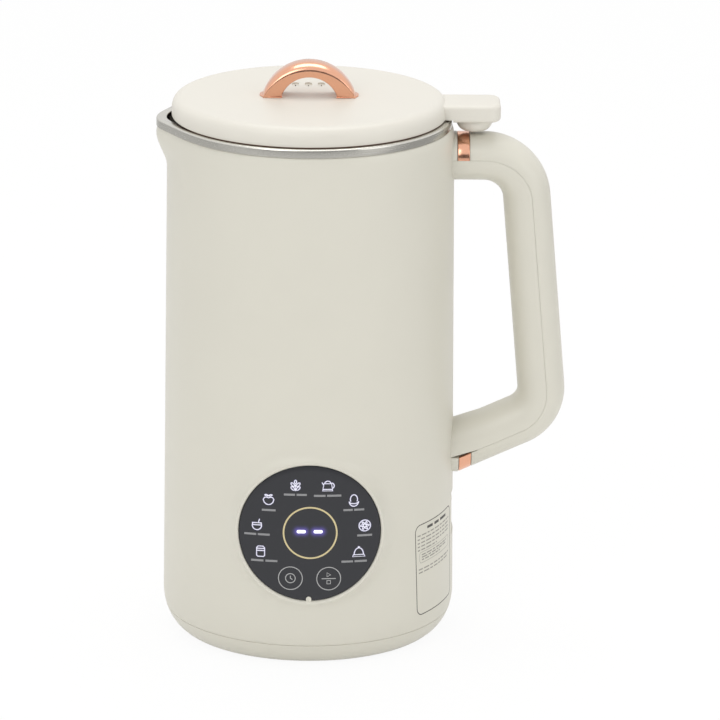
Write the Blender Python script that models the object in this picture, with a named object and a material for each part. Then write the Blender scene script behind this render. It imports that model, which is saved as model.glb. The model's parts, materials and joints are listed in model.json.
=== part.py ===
"""A countertop soy milk maker: a heated steel jug in a plastic housing, with its motor in the base,
a lift-off lid with an arch, and a loop handle. Sizes are in metres and +Z is up."""

import math

import bmesh
import bpy

# Heights are above the table. Radii and plan places are from the body's upright axis,
# which has the spout at -X, the handle at +X and the control panel at -Y.

FIT_GAP = 0.0003
CUT_OVERRUN = 0.002
RUNNING_GAP = 0.0001
FACET_CLEARANCE = 0.0005
BODY_SEGMENTS = 40
ROUND_SEGMENTS = 20
SMALL_SEGMENTS = 10
SPOUT_EXTRA_ANGLES = (2.5, 5.0)
FIRST_CORNER_SHARE = 0.37
MERGE_SHARE = 0.01
SMOOTH_ANGLE = 35.0

# Housing and base
SEAM_Z = 0.0105
BODY_SEAM_RADIUS = 0.06715
BODY_TOP_RADIUS = 0.0650
HOUSING_WALL = 0.0025
BASE_UNDERSIDE_Z = 0.0010
CORNER_TOP_Z = 0.0180
CORNER_HEIGHT = 0.0186
CORNER_RUN = 0.01325
BASE_CORNER_STEPS = 4
HOUSING_CORNER_STEPS = 2
BASE_FLOOR = 0.0028
BASE_TONGUE_HEIGHT = 0.0030
BASE_TONGUE_WALL = 0.0020
POST_INSET = 0.01315
POST_RADIUS = 0.0040
POST_TOP_Z = 0.0360
WEB_THICKNESS = 0.0030
POST_COUNT = 3
POST_FIRST_ANGLE = 90.0
VENT_SLOT_COUNT = 8
VENT_SLOT_WIDTH = 0.0030
VENT_SLOT_INNER_RADIUS = 0.0100
VENT_SLOT_OUTER_RADIUS = 0.0280

# Feet and the base's screws
FOOT_COUNT = 4
FOOT_FIRST_ANGLE = 45.0
FOOT_INSET = 0.02015
FOOT_RADIUS = 0.0070
FOOT_SUNK = 0.0010
BASE_SCREW_HEAD_RADIUS = 0.0030
BASE_SCREW_HEAD_HEIGHT = 0.0018
BASE_SCREW_SINK = 0.0040
BASE_SCREW_RADIUS = 0.0014
BASE_SCREW_LENGTH = 0.0180
BASE_PILLAR_WALL = 0.0014

# Steel jug: rim, spout, wall and floor
SHEET = 0.0008
RIM_TOP_Z = 0.2425
RIM_BAND_HEIGHT = 0.0040
RIM_STEP = 0.0003
RIM_ROLL = 0.0004
RIM_FLANGE = 0.0053
SPOUT_LENGTH = 0.0047
SPOUT_TIP_RADIUS = 0.0190
SPOUT_FLANGE = 0.0054
SPOUT_FOOT_Z = 0.2180
SPOUT_RISE = 0.0165
SPOUT_RING_SHARES = (0.0, 0.25, 0.45, 0.65, 0.85, 1.0)
LIP_RING_SHARES = (0.0, 0.5, 1.0)
LIP_SWELL_SHARE = 0.85
JUG_LIP_Z = 0.2220
JUG_LIP_FLARE = 0.0010
JUG_FLOOR_Z = 0.0968
JUG_WALL_FLARE = 0.0030
JUG_CORNER = 0.0060
JUG_CORNER_MIDDLE_ANGLE = 45.0
STUD_COUNT = 3
STUD_FIRST_ANGLE = 30.0
STUD_INSET = 0.0095
STUD_RADIUS = 0.0030
STUD_LENGTH = 0.0120
STUD_HOLE_DEPTH = 0.0095

# Heater, probes and shaft seal
HEATER_BAND = 0.0090
HEATER_STUD_GAP = 0.0015
HEATER_PLATE = 0.0030
HEATER_TUBE_RADIUS = 0.0032
HEATER_TUBE_ANGLE = 60.0
PROBE_HEATER_GAP = 0.0045
PROBE_RADIUS = 0.0025
PROBE_FLANGE_RADIUS = 0.0036
PROBE_FLANGE = 0.0012
PROBE_RISE = 0.0040
PROBE_DROP = 0.0080
OVERFLOW_PROBE_Z = 0.2120
OVERFLOW_PROBE_ANGLE = 45.0
OVERFLOW_BUTTON_RADIUS = 0.0034
OVERFLOW_BUTTON_DEPTH = 0.0024
OVERFLOW_NECK_RADIUS = 0.0020
OVERFLOW_NUT_DEPTH = 0.0019
SEAL_NECK_RADIUS = 0.0080
SEAL_FLANGE_RADIUS = 0.0112
SEAL_FLANGE = 0.0025
SEAL_CROWN_RADIUS = 0.0072
SEAL_CROWN_HEIGHT = 0.0034
SEAL_DROP = 0.0080
SEAL_NUT_RADIUS = 0.0112
SEAL_NUT_HEIGHT = 0.0046
SEAL_NUT_SIDES = 6

# Motor
SHAFT_RADIUS = 0.0040
SHAFT_BOTTOM_Z = 0.0082
CARRIER_MARGIN = 0.0055
CARRIER_PLATE = 0.0032
CARRIER_SCREW_RADIUS = 0.0013
CARRIER_SCREW_HEAD_RADIUS = 0.0030
CARRIER_SCREW_HEAD = 0.0020
CARRIER_SCREW_LENGTH = 0.0110
BEARING_HEIGHT = 0.0070
UPPER_BEARING_RADIUS = 0.0110
LOWER_BEARING_RADIUS = 0.0090
BEARING_CUP_WALL = 0.0022
BEARING_LIP = 0.0012
STATOR_BOTTOM_Z = 0.0443
STATOR_HEIGHT = 0.0254
STATOR_HALF_WIDTH = 0.0330
STATOR_CORNER_RADIUS = 0.0400
STATOR_BORE_RADIUS = 0.0300
POLE_NECK_HALF_WIDTH = 0.0090
POLE_SHOE_RADIUS = 0.0175
POLE_SHOE_THICKNESS = 0.0030
POLE_SHOE_HALF_ANGLE = 58.0
POLE_SHOE_STEPS = 8
COIL_HALF_WIDTH = 0.0145
COIL_INNER_REACH = 0.0212
COIL_OUTER_REACH = 0.0252
COIL_OVERHANG = 0.0042
MOTOR_BOLT_CIRCLE_RADIUS = 0.0360
MOTOR_BOLT_ANGLE = 45.0
MOTOR_BOLT_RADIUS = 0.0015
MOTOR_BOLT_HEAD_RADIUS = 0.0030
MOTOR_BOLT_HEAD = 0.0025
LEG_RADIUS = 0.0045
LOWER_BRACKET_TOP_Z = 0.0255
LOWER_BRACKET_PLATE = 0.0032
LOWER_BRACKET_HALF_WIDTH = 0.0105
ARMATURE_GAP = 0.0006
ARMATURE_SLOTS = 12
ARMATURE_SLOT_DEPTH = 0.0030
ARMATURE_TOOTH_SHARES = (0.0, 0.62)
WINDING_RADIUS = 0.0150
WINDING_OVERHANG = 0.0048
COMMUTATOR_RADIUS = 0.0100
COMMUTATOR_RISER = 0.0010
COMMUTATOR_HEIGHT = 0.0110
COMMUTATOR_LIFT = 0.0020
BRUSH_HALF_WIDTH = 0.0045
BRUSH_HOLDER_LENGTH = 0.0165
BRUSH_GAP = 0.0005
FAN_RADIUS = 0.0270
FAN_HUB_RADIUS = 0.0070
FAN_DISC = 0.0014
FAN_HEIGHT = 0.0076
FAN_VANE_COUNT = 9
FAN_VANE_THICKNESS = 0.0012

# Blades
SHAFT_SHOULDER_RADIUS = 0.0065
SHAFT_SHOULDER_HEIGHT = 0.0036
SHAFT_STUB = 0.0080
BLADE_THICKNESS = 0.0015
BLADE_ROOT_HALF_WIDTH = 0.0075
BLADE_TIP_HALF_WIDTH = 0.0032
BLADE_EDGE_SHARE = 0.7
BLADE_FLAT_REACH = 0.0090
LOWER_BLADE_REACH = 0.0310
LOWER_BLADE_BEND = -12.0
UPPER_BLADE_REACH = 0.0270
UPPER_BLADE_BEND = 28.0
BLADE_NUT_RADIUS = 0.0062
BLADE_NUT_HEIGHT = 0.0065
BLADE_NUT_DOME = 0.0030
BLADE_NUT_SIDES = 6

# Control panel
PANEL_Z = 0.0649
LENS_RADIUS = 0.0320
LENS_CURVE_RADIUS = 0.1250
LENS_PROUD = 0.0010
LENS_THICKNESS = 0.0022
LENS_LEDGE = 0.0020
COLLAR_LIP = 0.0012
COLLAR_WIDTH = 0.0040
DISC_RING_SHARES = (1.0, 0.62, 0.3)
DISPLAY_BOARD_SETBACK = 0.00944
BOARD_THICKNESS = 0.0016
DISPLAY_BOARD_MARGIN = 0.0074
DIGITS_HALF_WIDTH = 0.0125
DIGITS_HALF_HEIGHT = 0.0070
TOUCH_SPRING_X = 0.0088
TOUCH_SPRING_MARGIN = 0.0119
TOUCH_SPRING_RADIUS = 0.0040
TOUCH_SPRING_WALL = 0.0008

# Power board and inlet
POWER_BOARD_SETBACK = 0.01955
POWER_BOARD_BOTTOM_Z = 0.0165
POWER_BOARD_TOP_Z = 0.0740
RELAY_SIZE = (0.0180, 0.0100, 0.0150)
TRANSFORMER_SIZE = (0.0200, 0.0110, 0.0200)
CAPACITOR_RADIUS = 0.0055
CAPACITOR_LENGTH = 0.0110
RELAY_PLACE = (0.0240, 0.0290)
TRANSFORMER_PLACE = (-0.0210, 0.0330)
CAPACITOR_PLACE = (0.0180, 0.0580)
INLET_Z = 0.0560
INLET_HALF_WIDTH = 0.0135
INLET_HALF_HEIGHT = 0.0098
INLET_DEPTH = 0.0155
INLET_SETBACK = 0.0016
INLET_WALL = 0.0018
INLET_FLOOR = 0.0020
PIN_HALF_THICKNESS = 0.0010
PIN_HALF_HEIGHT = 0.0020
PIN_LENGTH = 0.0115
PIN_SPACING = 0.0070
PIN_DROP = 0.0020

# Handle: corners of its centre line, their bend radii and its section
HANDLE_TOP_ROOT_SINK = 0.0100
HANDLE_LOW_ROOT_SINK = 0.01215
HANDLE_TOP_Z = 0.2238
HANDLE_TOP_CORNER_REACH = 0.0318
HANDLE_LOW_CORNER_REACH = 0.04045
HANDLE_LOW_CORNER_Z = 0.1036
HANDLE_LOW_ROOT_Z = 0.0797
HANDLE_TOP_BEND = 0.0200
HANDLE_LOW_BEND = 0.0170
HANDLE_BEND_STEPS = 6
HANDLE_TOP_HALF_DEPTH = 0.0107
HANDLE_LEG_HALF_DEPTH = 0.0108
HANDLE_LOW_HALF_DEPTH = 0.0110
HANDLE_HALF_WIDTH = 0.0130
HANDLE_SECTION_POINTS = 16
HANDLE_SECTION_POWER = 2.3
HANDLE_WALL = 0.0025
HANDLE_PLUG_GAP = 0.0015
HANDLE_LOW_PLUG = 0.00985
SEAM_TOP_OFFSET = 0.0006
SEAM_LEG_OFFSET = 0.0021
SEAM_LOW_OFFSET = 0.0025
TRIM_THICKNESS = 0.0012
TOP_TRIM_OFFSET = 0.0014
TOP_TRIM_WIDTH = 0.0055
LOW_TRIM_OFFSET = 0.00185
LOW_TRIM_WIDTH = 0.0056
HANDLE_SCREW_RADIUS = 0.0013
HANDLE_SCREW_HEAD_RADIUS = 0.0028
HANDLE_SCREW_HEAD = 0.0016
HANDLE_SCREW_LENGTH = 0.0100
HANDLE_SCREW_OFFSET = 0.0060
REED_RADIUS = 0.0013
REED_LENGTH = 0.0090
REED_DEPTH = 0.0052

# Lid
LID_INSET = 0.0025
LID_LIFT = 0.0011
LID_HEIGHT = 0.0078
LID_SIDE = 0.0016
LID_SHOULDER = 0.0045
LID_SHOULDER_STEPS = 4
LID_WALL = 0.0022
TAB_OVERHANG = 0.0211
TAB_ROOT_INSET = 0.0068
TAB_HALF_WIDTH = 0.0120
TAB_BOTTOM_Z = 0.2421
TAB_TOP_Z = 0.2495
TAB_CORNER = 0.0055
TAB_CORNER_STEPS = 4
TAB_EDGE = 0.0018
TAB_EDGE_STEPS = 2
TAB_EDGE_ANGLE = 60.0
TAB_RIM_CLEARANCE = 0.0008
VENT_HOLE_COUNT = 3
VENT_HOLE_SPACING = 0.0060
VENT_HOLE_Y = 0.0200
VENT_HOLE_HALF_LENGTH = 0.0034
VENT_HOLE_HALF_WIDTH = 0.0016
INNER_COVER_PLATE = 0.0018
INNER_COVER_INSET = 0.0026
SKIRT_CLEARANCE = 0.0020
SKIRT_WALL = 0.0018
SKIRT_BOTTOM_Z = 0.2310
STRAINER_SLOT_COUNT = 5
STRAINER_SLOT_SPACING = 0.0052
STRAINER_SLOT_WIDTH = 0.0024
STRAINER_SLOT_BOTTOM_Z = 0.2328
STRAINER_SLOT_TOP_Z = 0.2372
SEAL_RING_FLANGE = 0.0005
SEAL_RING_INSET = 0.0003
SEAL_RING_WALL = 0.0010
SEAL_RING_DROP = 0.0040
BOSS_OFFSET = 0.0090
BOSS_TOP_RADIUS = 0.0077
BOSS_BOTTOM_RADIUS = 0.0046
BOSS_WALL = 0.0010
BOSS_BULGE_SHARE = 0.72
MAGNET_RADIUS = 0.0035
MAGNET_HEIGHT = 0.0022

# Arch on the lid
ARCH_HALF_SPAN = 0.0213
ARCH_APEX_Z = 0.2670
ARCH_INNER_HALF_SPAN = 0.0128
ARCH_INNER_APEX_Z = 0.2608
ARCH_HALF_DEPTH = 0.0062
ARCH_STEPS = 14
ARCH_EDGE = 0.0018
ARCH_SCREW_X = 0.0168
ARCH_SCREW_RADIUS = 0.0013
ARCH_SCREW_HEAD_RADIUS = 0.0028
ARCH_SCREW_HEAD = 0.0018
ARCH_SCREW_LENGTH = 0.0066

# Radii, places and heights that follow from the sizes above
RIM_RADIUS = BODY_TOP_RADIUS + RIM_STEP
MOUTH_RADIUS = RIM_RADIUS - RIM_FLANGE
SPOUT_REACH = RIM_RADIUS + SPOUT_LENGTH
SPOUT_MOUTH_REACH = SPOUT_REACH - SPOUT_FLANGE
JUG_LIP_RADIUS = MOUTH_RADIUS - JUG_LIP_FLARE
JUG_FLOOR_RADIUS = JUG_LIP_RADIUS - JUG_WALL_FLARE
STUD_CIRCLE_RADIUS = JUG_FLOOR_RADIUS - STUD_INSET
CARRIER_RADIUS = STUD_CIRCLE_RADIUS + CARRIER_MARGIN
HEATER_OUTER_RADIUS = STUD_CIRCLE_RADIUS - STUD_RADIUS - HEATER_STUD_GAP
HEATER_INNER_RADIUS = HEATER_OUTER_RADIUS - HEATER_BAND
HEATER_CIRCLE_RADIUS = HEATER_OUTER_RADIUS - HEATER_BAND / 2.0
PROBE_CIRCLE_RADIUS = HEATER_INNER_RADIUS - PROBE_RADIUS - PROBE_HEATER_GAP
POST_CIRCLE_RADIUS = BODY_SEAM_RADIUS - POST_INSET
FOOT_CIRCLE_RADIUS = BODY_SEAM_RADIUS - FOOT_INSET
HANDLE_TOP_ROOT_X = BODY_TOP_RADIUS - HANDLE_TOP_ROOT_SINK
HANDLE_LOW_ROOT_X = BODY_SEAM_RADIUS - HANDLE_LOW_ROOT_SINK
HANDLE_ROOTS = (HANDLE_TOP_ROOT_X, HANDLE_LOW_ROOT_X)
HANDLE_TOP_CORNER_X = BODY_TOP_RADIUS + HANDLE_TOP_CORNER_REACH
HANDLE_LOW_CORNER_X = BODY_SEAM_RADIUS + HANDLE_LOW_CORNER_REACH
HANDLE_LOW_PLUG_X = BODY_SEAM_RADIUS + HANDLE_LOW_PLUG
TOP_TRIM_X = BODY_TOP_RADIUS + TOP_TRIM_OFFSET
LOW_TRIM_X = BODY_SEAM_RADIUS + LOW_TRIM_OFFSET
DISPLAY_BOARD_HALF_HEIGHT = LENS_RADIUS - DISPLAY_BOARD_MARGIN
TOUCH_SPRING_DROP = LENS_RADIUS - TOUCH_SPRING_MARGIN
LID_RADIUS = RIM_RADIUS - LID_INSET
INNER_COVER_RADIUS = LID_RADIUS - INNER_COVER_INSET
SKIRT_RADIUS = MOUTH_RADIUS - SKIRT_CLEARANCE
SEAL_RING_RADIUS = LID_RADIUS - SEAL_RING_INSET
TAB_REACH = RIM_RADIUS + TAB_OVERHANG
TAB_ROOT = LID_RADIUS - TAB_ROOT_INSET
BOSS_X = RIM_RADIUS + BOSS_OFFSET
RIM_BAND_Z = RIM_TOP_Z - RIM_BAND_HEIGHT
HOUSING_BOTTOM_Z = SEAM_Z + FIT_GAP
HOUSING_SHOULDER_Z = RIM_BAND_Z - FIT_GAP
HOUSING_TOP_Z = RIM_TOP_Z - SHEET - FIT_GAP
JUG_UNDERSIDE_Z = JUG_FLOOR_Z - SHEET
STUD_BOTTOM_Z = JUG_UNDERSIDE_Z - STUD_LENGTH
CARRIER_TOP_Z = STUD_BOTTOM_Z - FIT_GAP
CARRIER_BOTTOM_Z = CARRIER_TOP_Z - CARRIER_PLATE
STATOR_TOP_Z = STATOR_BOTTOM_Z + STATOR_HEIGHT
LOWER_BRACKET_Z = LOWER_BRACKET_TOP_Z - LOWER_BRACKET_PLATE
SHAFT_SHOULDER_Z = JUG_FLOOR_Z + FIT_GAP + SEAL_FLANGE + SEAL_CROWN_HEIGHT + FIT_GAP
LOWER_BLADE_Z = SHAFT_SHOULDER_Z + SHAFT_SHOULDER_HEIGHT + FIT_GAP
UPPER_BLADE_Z = LOWER_BLADE_Z + BLADE_THICKNESS + FIT_GAP
BLADE_NUT_Z = UPPER_BLADE_Z + BLADE_THICKNESS + FIT_GAP
LID_BOTTOM_Z = RIM_TOP_Z + LID_LIFT
LID_TOP_Z = LID_BOTTOM_Z + LID_HEIGHT
SEAL_RING_TOP_Z = LID_BOTTOM_Z - FIT_GAP
SEAL_RING_BOTTOM_Z = SEAL_RING_TOP_Z - SEAL_RING_FLANGE


def housing_radius(z):
    """Outer radius of the body, which narrows evenly upwards and curves in towards its foot."""
    share = (z - SEAM_Z) / (RIM_BAND_Z - SEAM_Z)
    radius = BODY_SEAM_RADIUS + (BODY_TOP_RADIUS - BODY_SEAM_RADIUS) * share
    depth_share = max(0.0, CORNER_TOP_Z - z) / CORNER_HEIGHT
    return radius - CORNER_RUN * (1.0 - math.sqrt(1.0 - depth_share**2))


DISPLAY_BOARD_Y = DISPLAY_BOARD_SETBACK - housing_radius(PANEL_Z)
POWER_BOARD_Y = housing_radius(POWER_BOARD_TOP_Z) - POWER_BOARD_SETBACK


def smooth_step(share):
    share = min(1.0, max(0.0, share))
    return share * share * (3.0 - 2.0 * share)


def clear_scene():
    for old in list(bpy.data.objects):
        bpy.data.objects.remove(old, do_unlink=True)


def finish_of(name, colour, roughness, metallic=0.0):
    made = bpy.data.materials.new(name)
    made.use_nodes = True
    shader = made.node_tree.nodes["Principled BSDF"]
    shader.inputs["Base Color"].default_value = (*colour, 1.0)
    shader.inputs["Roughness"].default_value = roughness
    shader.inputs["Metallic"].default_value = metallic
    made.diffuse_color = (*colour, 1.0)
    return made


def object_from(name, bm, material, place=(0.0, 0.0, 0.0), turn=0.0):
    """Makes an object of the mesh, on the body's axis, moved to its place and turned about Z in degrees."""
    bmesh.ops.recalc_face_normals(bm, faces=bm.faces[:])
    if bm.calc_volume(signed=True) < 0.0:
        bmesh.ops.reverse_faces(bm, faces=bm.faces[:])
    mesh = bpy.data.meshes.new(name)
    bm.to_mesh(mesh)
    bm.free()
    mesh.shade_smooth()
    mesh.set_sharp_from_angle(angle=math.radians(SMOOTH_ANGLE))
    mesh.materials.append(material)
    made = bpy.data.objects.new(name, mesh)
    bpy.context.scene.collection.objects.link(made)
    made.parent = bpy.data.objects["body_axis"]
    made.location = place
    made.rotation_euler = (0.0, 0.0, math.radians(turn))
    return made


def turned(name, profile, material, segments=SMALL_SEGMENTS, place=(0.0, 0.0, 0.0)):
    """A round piece from its (radius, height) profile. It is closed if it starts and ends on the axis,
    and otherwise its last point is joined to its first."""
    bm = bmesh.new()
    start = 0.0 if segments == BODY_SEGMENTS else math.tau * FIRST_CORNER_SHARE / segments
    points = [
        bm.verts.new((radius * math.cos(start), radius * math.sin(start), z)) for radius, z in profile
    ]
    on_axis = profile[0][0] == 0.0 and profile[-1][0] == 0.0
    pairs = list(zip(points, points[1:]))
    if not on_axis:
        pairs.append((points[-1], points[0]))
    edges = [bm.edges.new(pair) for pair in pairs]
    bmesh.ops.spin(
        bm,
        geom=points + edges,
        cent=(0.0, 0.0, 0.0),
        axis=(0.0, 0.0, 1.0),
        angle=math.tau,
        steps=segments,
        use_merge=True,
    )
    bmesh.ops.remove_doubles(bm, verts=bm.verts[:], dist=FIT_GAP * MERGE_SHARE)
    return object_from(name, bm, material, place)


def lofted(name, rings, material, closed=False, turn=0.0):
    """A solid through rings of equally many points. Its ends are flat faces, or are joined if closed."""
    bm = bmesh.new()
    rows = [[bm.verts.new(point) for point in ring] for ring in rings]
    steps = list(zip(rows, rows[1:]))
    if closed:
        steps.append((rows[-1], rows[0]))
    else:
        bm.faces.new(rows[0])
        bm.faces.new(rows[-1])
    for low, high in steps:
        for i in range(len(low)):
            j = (i + 1) % len(low)
            bm.faces.new((low[i], low[j], high[j], high[i]))
    return object_from(name, bm, material, turn=turn)


def block(name, low, high, material, turn=0.0):
    """A box between two corners."""
    bm = bmesh.new()
    bmesh.ops.create_cube(bm, size=1.0)
    for vert in bm.verts:
        for axis in range(3):
            vert.co[axis] = high[axis] if vert.co[axis] > 0.0 else low[axis]
    return object_from(name, bm, material, turn=turn)


def rod(name, radius, bottom, top, material, segments=SMALL_SEGMENTS, place=(0.0, 0.0, 0.0)):
    """An upright cylinder between two heights."""
    profile = [(0.0, bottom), (radius, bottom), (radius, top), (0.0, top)]
    return turned(name, profile, material, segments, place)


def cutter(made):
    made.hide_render = True
    made.display_type = "WIRE"
    return made


def boolean(made, other, operation):
    modifier = made.modifiers.new(f"{operation.lower()} {other.name}", "BOOLEAN")
    modifier.operation = operation
    modifier.solver = "EXACT"
    modifier.object = other
    cutter(other)


def cut(made, *others):
    for other in others:
        boolean(made, other, "DIFFERENCE")


def join(made, *others):
    for other in others:
        boolean(made, other, "UNION")


def keep_inside(made, other):
    boolean(made, other, "INTERSECT")


def gathered(pieces):
    """Moves the meshes of several simple pieces that don't touch each other into the first one."""
    bm = bmesh.new()
    for made in pieces:
        held = len(bm.verts)
        bm.from_mesh(made.data)
        bm.verts.ensure_lookup_table()
        bmesh.ops.transform(bm, matrix=made.matrix_basis, verts=bm.verts[held:])
    first = pieces[0]
    bm.to_mesh(first.data)
    bm.free()
    first.matrix_basis.identity()
    for made in pieces[1:]:
        bpy.data.objects.remove(made)
    return first


def lay_along(made, angle):
    """Turns an upright piece so that its +Z points outwards from the body's axis at this angle."""
    made.rotation_euler = (0.0, math.radians(90.0), math.radians(angle))
    return made


def around(count, first_angle, radius):
    """Plan places evenly round the axis, each with its angle in degrees."""
    for i in range(count):
        angle = first_angle + 360.0 / count * i
        turn = math.radians(angle)
        yield angle, (radius * math.cos(turn), radius * math.sin(turn), 0.0)


def beak_radius(angle, radius, reach, tip_radius):
    """Distance from the axis to a circle that is drawn out to a rounded beak on its -X side.
    The outline is a large and a small circle with a belt round both."""
    if reach <= radius:
        return radius
    offset = reach - tip_radius
    away = abs(math.remainder(angle - math.pi, math.tau))
    belt = math.acos((radius - tip_radius) / offset)
    tip_end = math.atan2(tip_radius * math.sin(belt), offset + tip_radius * math.cos(belt))
    if away >= belt:
        return radius
    if away > tip_end:
        return radius / math.cos(belt - away)
    return offset * math.cos(away) + math.sqrt(tip_radius**2 - (offset * math.sin(away)) ** 2)


def beak_ring(radius, reach, tip_radius, z):
    ring = []
    for angle in ring_angles():
        distance = beak_radius(angle, radius, reach, tip_radius)
        ring.append((distance * math.cos(angle), distance * math.sin(angle), z))
    return ring


def ring_angles():
    """Evenly spaced angles, with more of them at the spout's tip."""
    angles = [math.tau * i / BODY_SEGMENTS for i in range(BODY_SEGMENTS)]
    for extra in SPOUT_EXTRA_ANGLES:
        angles += [math.pi - math.radians(extra), math.pi + math.radians(extra)]
    return sorted(angles)


def round_ring(radius, z):
    return beak_ring(radius, radius, SPOUT_TIP_RADIUS, z)


def housing_ring(z, inset, outline_z=None):
    """The housing's outline at a height, moved inwards. Its spout swells from the spout's foot."""
    at = z if outline_z is None else outline_z
    radius = housing_radius(at)
    swell = smooth_step((at - SPOUT_FOOT_Z) / SPOUT_RISE)
    reach = radius + (SPOUT_REACH - RIM_RADIUS) * swell
    return beak_ring(radius - inset, reach - inset, SPOUT_TIP_RADIUS - inset, z)


def panel_front_y(x, back):
    """Depth of the gently curved panel at this place across it, set back from its front."""
    front = housing_radius(PANEL_Z) + LENS_PROUD
    return -front + back + LENS_CURVE_RADIUS - math.sqrt(LENS_CURVE_RADIUS**2 - x * x)


def wall_y(x, inset):
    """Depth of the housing's wall at this place across the panel, inside its outer face."""
    return -math.sqrt((housing_radius(PANEL_Z) - inset) ** 2 - x * x)


def panel_disc(name, front_radius, back_radius, front, back, material):
    """A disc facing -Y on the panel's centre, whose front and back follow two depth functions of x."""

    def ring(radius, depth):
        points = []
        for i in range(ROUND_SEGMENTS):
            angle = math.tau * i / ROUND_SEGMENTS
            x = radius * math.cos(angle)
            points.append((x, depth(x), PANEL_Z + radius * math.sin(angle)))
        return points

    front_rings = [ring(front_radius * share, front) for share in reversed(DISC_RING_SHARES)]
    back_rings = [ring(back_radius * share, back) for share in DISC_RING_SHARES]
    return lofted(name, front_rings + back_rings, material)


def make_housing(material):
    levels = [SPOUT_FOOT_Z + SPOUT_RISE * share for share in SPOUT_RING_SHARES]
    rings = []
    for step in range(HOUSING_CORNER_STEPS + 1):
        z = HOUSING_BOTTOM_Z + (CORNER_TOP_Z - HOUSING_BOTTOM_Z) * step / HOUSING_CORNER_STEPS
        rings.append(round_ring(housing_radius(z), z))
    rings += [housing_ring(z, 0.0) for z in levels]
    rings.append(housing_ring(HOUSING_SHOULDER_Z, 0.0))
    shoulder = BODY_TOP_RADIUS - RIM_RADIUS + SHEET + FIT_GAP
    rings.append(housing_ring(HOUSING_SHOULDER_Z, shoulder))
    rings.append(housing_ring(HOUSING_TOP_Z, shoulder, HOUSING_SHOULDER_Z))
    rings.append(housing_ring(HOUSING_TOP_Z, HOUSING_WALL, HOUSING_SHOULDER_Z))
    rings += [housing_ring(z, HOUSING_WALL) for z in reversed(levels[::2])]
    for z in (CORNER_TOP_Z, HOUSING_BOTTOM_Z):
        rings.append(round_ring(housing_radius(z) - HOUSING_WALL, z))
    housing = lofted("outer_housing", rings, material, closed=True)

    collar_radius = LENS_RADIUS + FIT_GAP + COLLAR_LIP
    collar = panel_disc(
        "panel_collar",
        collar_radius,
        collar_radius + COLLAR_WIDTH,
        lambda x: panel_front_y(x, FIT_GAP),
        lambda x: wall_y(x, HOUSING_WALL / 2.0),
        material,
    )
    join(housing, collar)
    posts = []
    webs = []
    holes = [inlet_block("inlet_hole", FIT_GAP, CUT_OVERRUN, material)]
    wall_middle = housing_radius(POST_TOP_Z) - HOUSING_WALL / 2.0
    for angle, place in around(POST_COUNT, POST_FIRST_ANGLE, POST_CIRCLE_RADIUS):
        posts.append(rod("post", POST_RADIUS, HOUSING_BOTTOM_Z, POST_TOP_Z, material, place=place))
        webs.append(
            block(
                "post_web",
                (
                    POST_CIRCLE_RADIUS,
                    -WEB_THICKNESS / 2.0,
                    HOUSING_BOTTOM_Z + BASE_TONGUE_HEIGHT + FIT_GAP,
                ),
                (wall_middle, WEB_THICKNESS / 2.0, POST_TOP_Z - WEB_THICKNESS),
                material,
                turn=angle,
            )
        )
        holes.append(
            rod(
                "post_hole",
                BASE_SCREW_RADIUS + FIT_GAP,
                HOUSING_BOTTOM_Z - CUT_OVERRUN,
                BASE_UNDERSIDE_Z + BASE_SCREW_SINK + BASE_SCREW_LENGTH + CUT_OVERRUN,
                material,
                place=place,
            )
        )
    for name, z in handle_screw_heights():
        hole = rod(
            f"{name}_hole",
            HANDLE_SCREW_RADIUS + FIT_GAP,
            housing_radius(z) - HOUSING_WALL - CUT_OVERRUN,
            housing_radius(z) + CUT_OVERRUN,
            material,
        )
        lay_along(hole, 0.0)
        hole.location = (0.0, 0.0, z)
        holes.append(hole)
    join(housing, gathered(posts), gathered(webs))

    pocket = panel_disc(
        "lens_pocket",
        LENS_RADIUS + FIT_GAP,
        LENS_RADIUS + FIT_GAP,
        lambda x: panel_front_y(x, -CUT_OVERRUN),
        lambda x: panel_front_y(x, LENS_THICKNESS + FIT_GAP),
        material,
    )
    front_reach = housing_radius(PANEL_Z) + LENS_PROUD
    window = rod(
        "panel_window",
        LENS_RADIUS - LENS_LEDGE,
        -DISPLAY_BOARD_Y,
        front_reach + CUT_OVERRUN,
        material,
        ROUND_SEGMENTS,
    )
    window.rotation_euler = (math.radians(90.0), 0.0, 0.0)
    window.location = (0.0, 0.0, PANEL_Z)
    cut(housing, pocket, window, gathered(holes))


def inlet_block(name, gap, overrun, material):
    """The power inlet's outer box in the housing's +X wall, grown by a gap."""
    face = housing_radius(INLET_Z) - INLET_SETBACK
    return block(
        name,
        (face - INLET_DEPTH - gap, -INLET_HALF_WIDTH - gap, INLET_Z - INLET_HALF_HEIGHT - gap),
        (face + overrun, INLET_HALF_WIDTH + gap, INLET_Z + INLET_HALF_HEIGHT + gap),
        material,
    )


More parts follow.
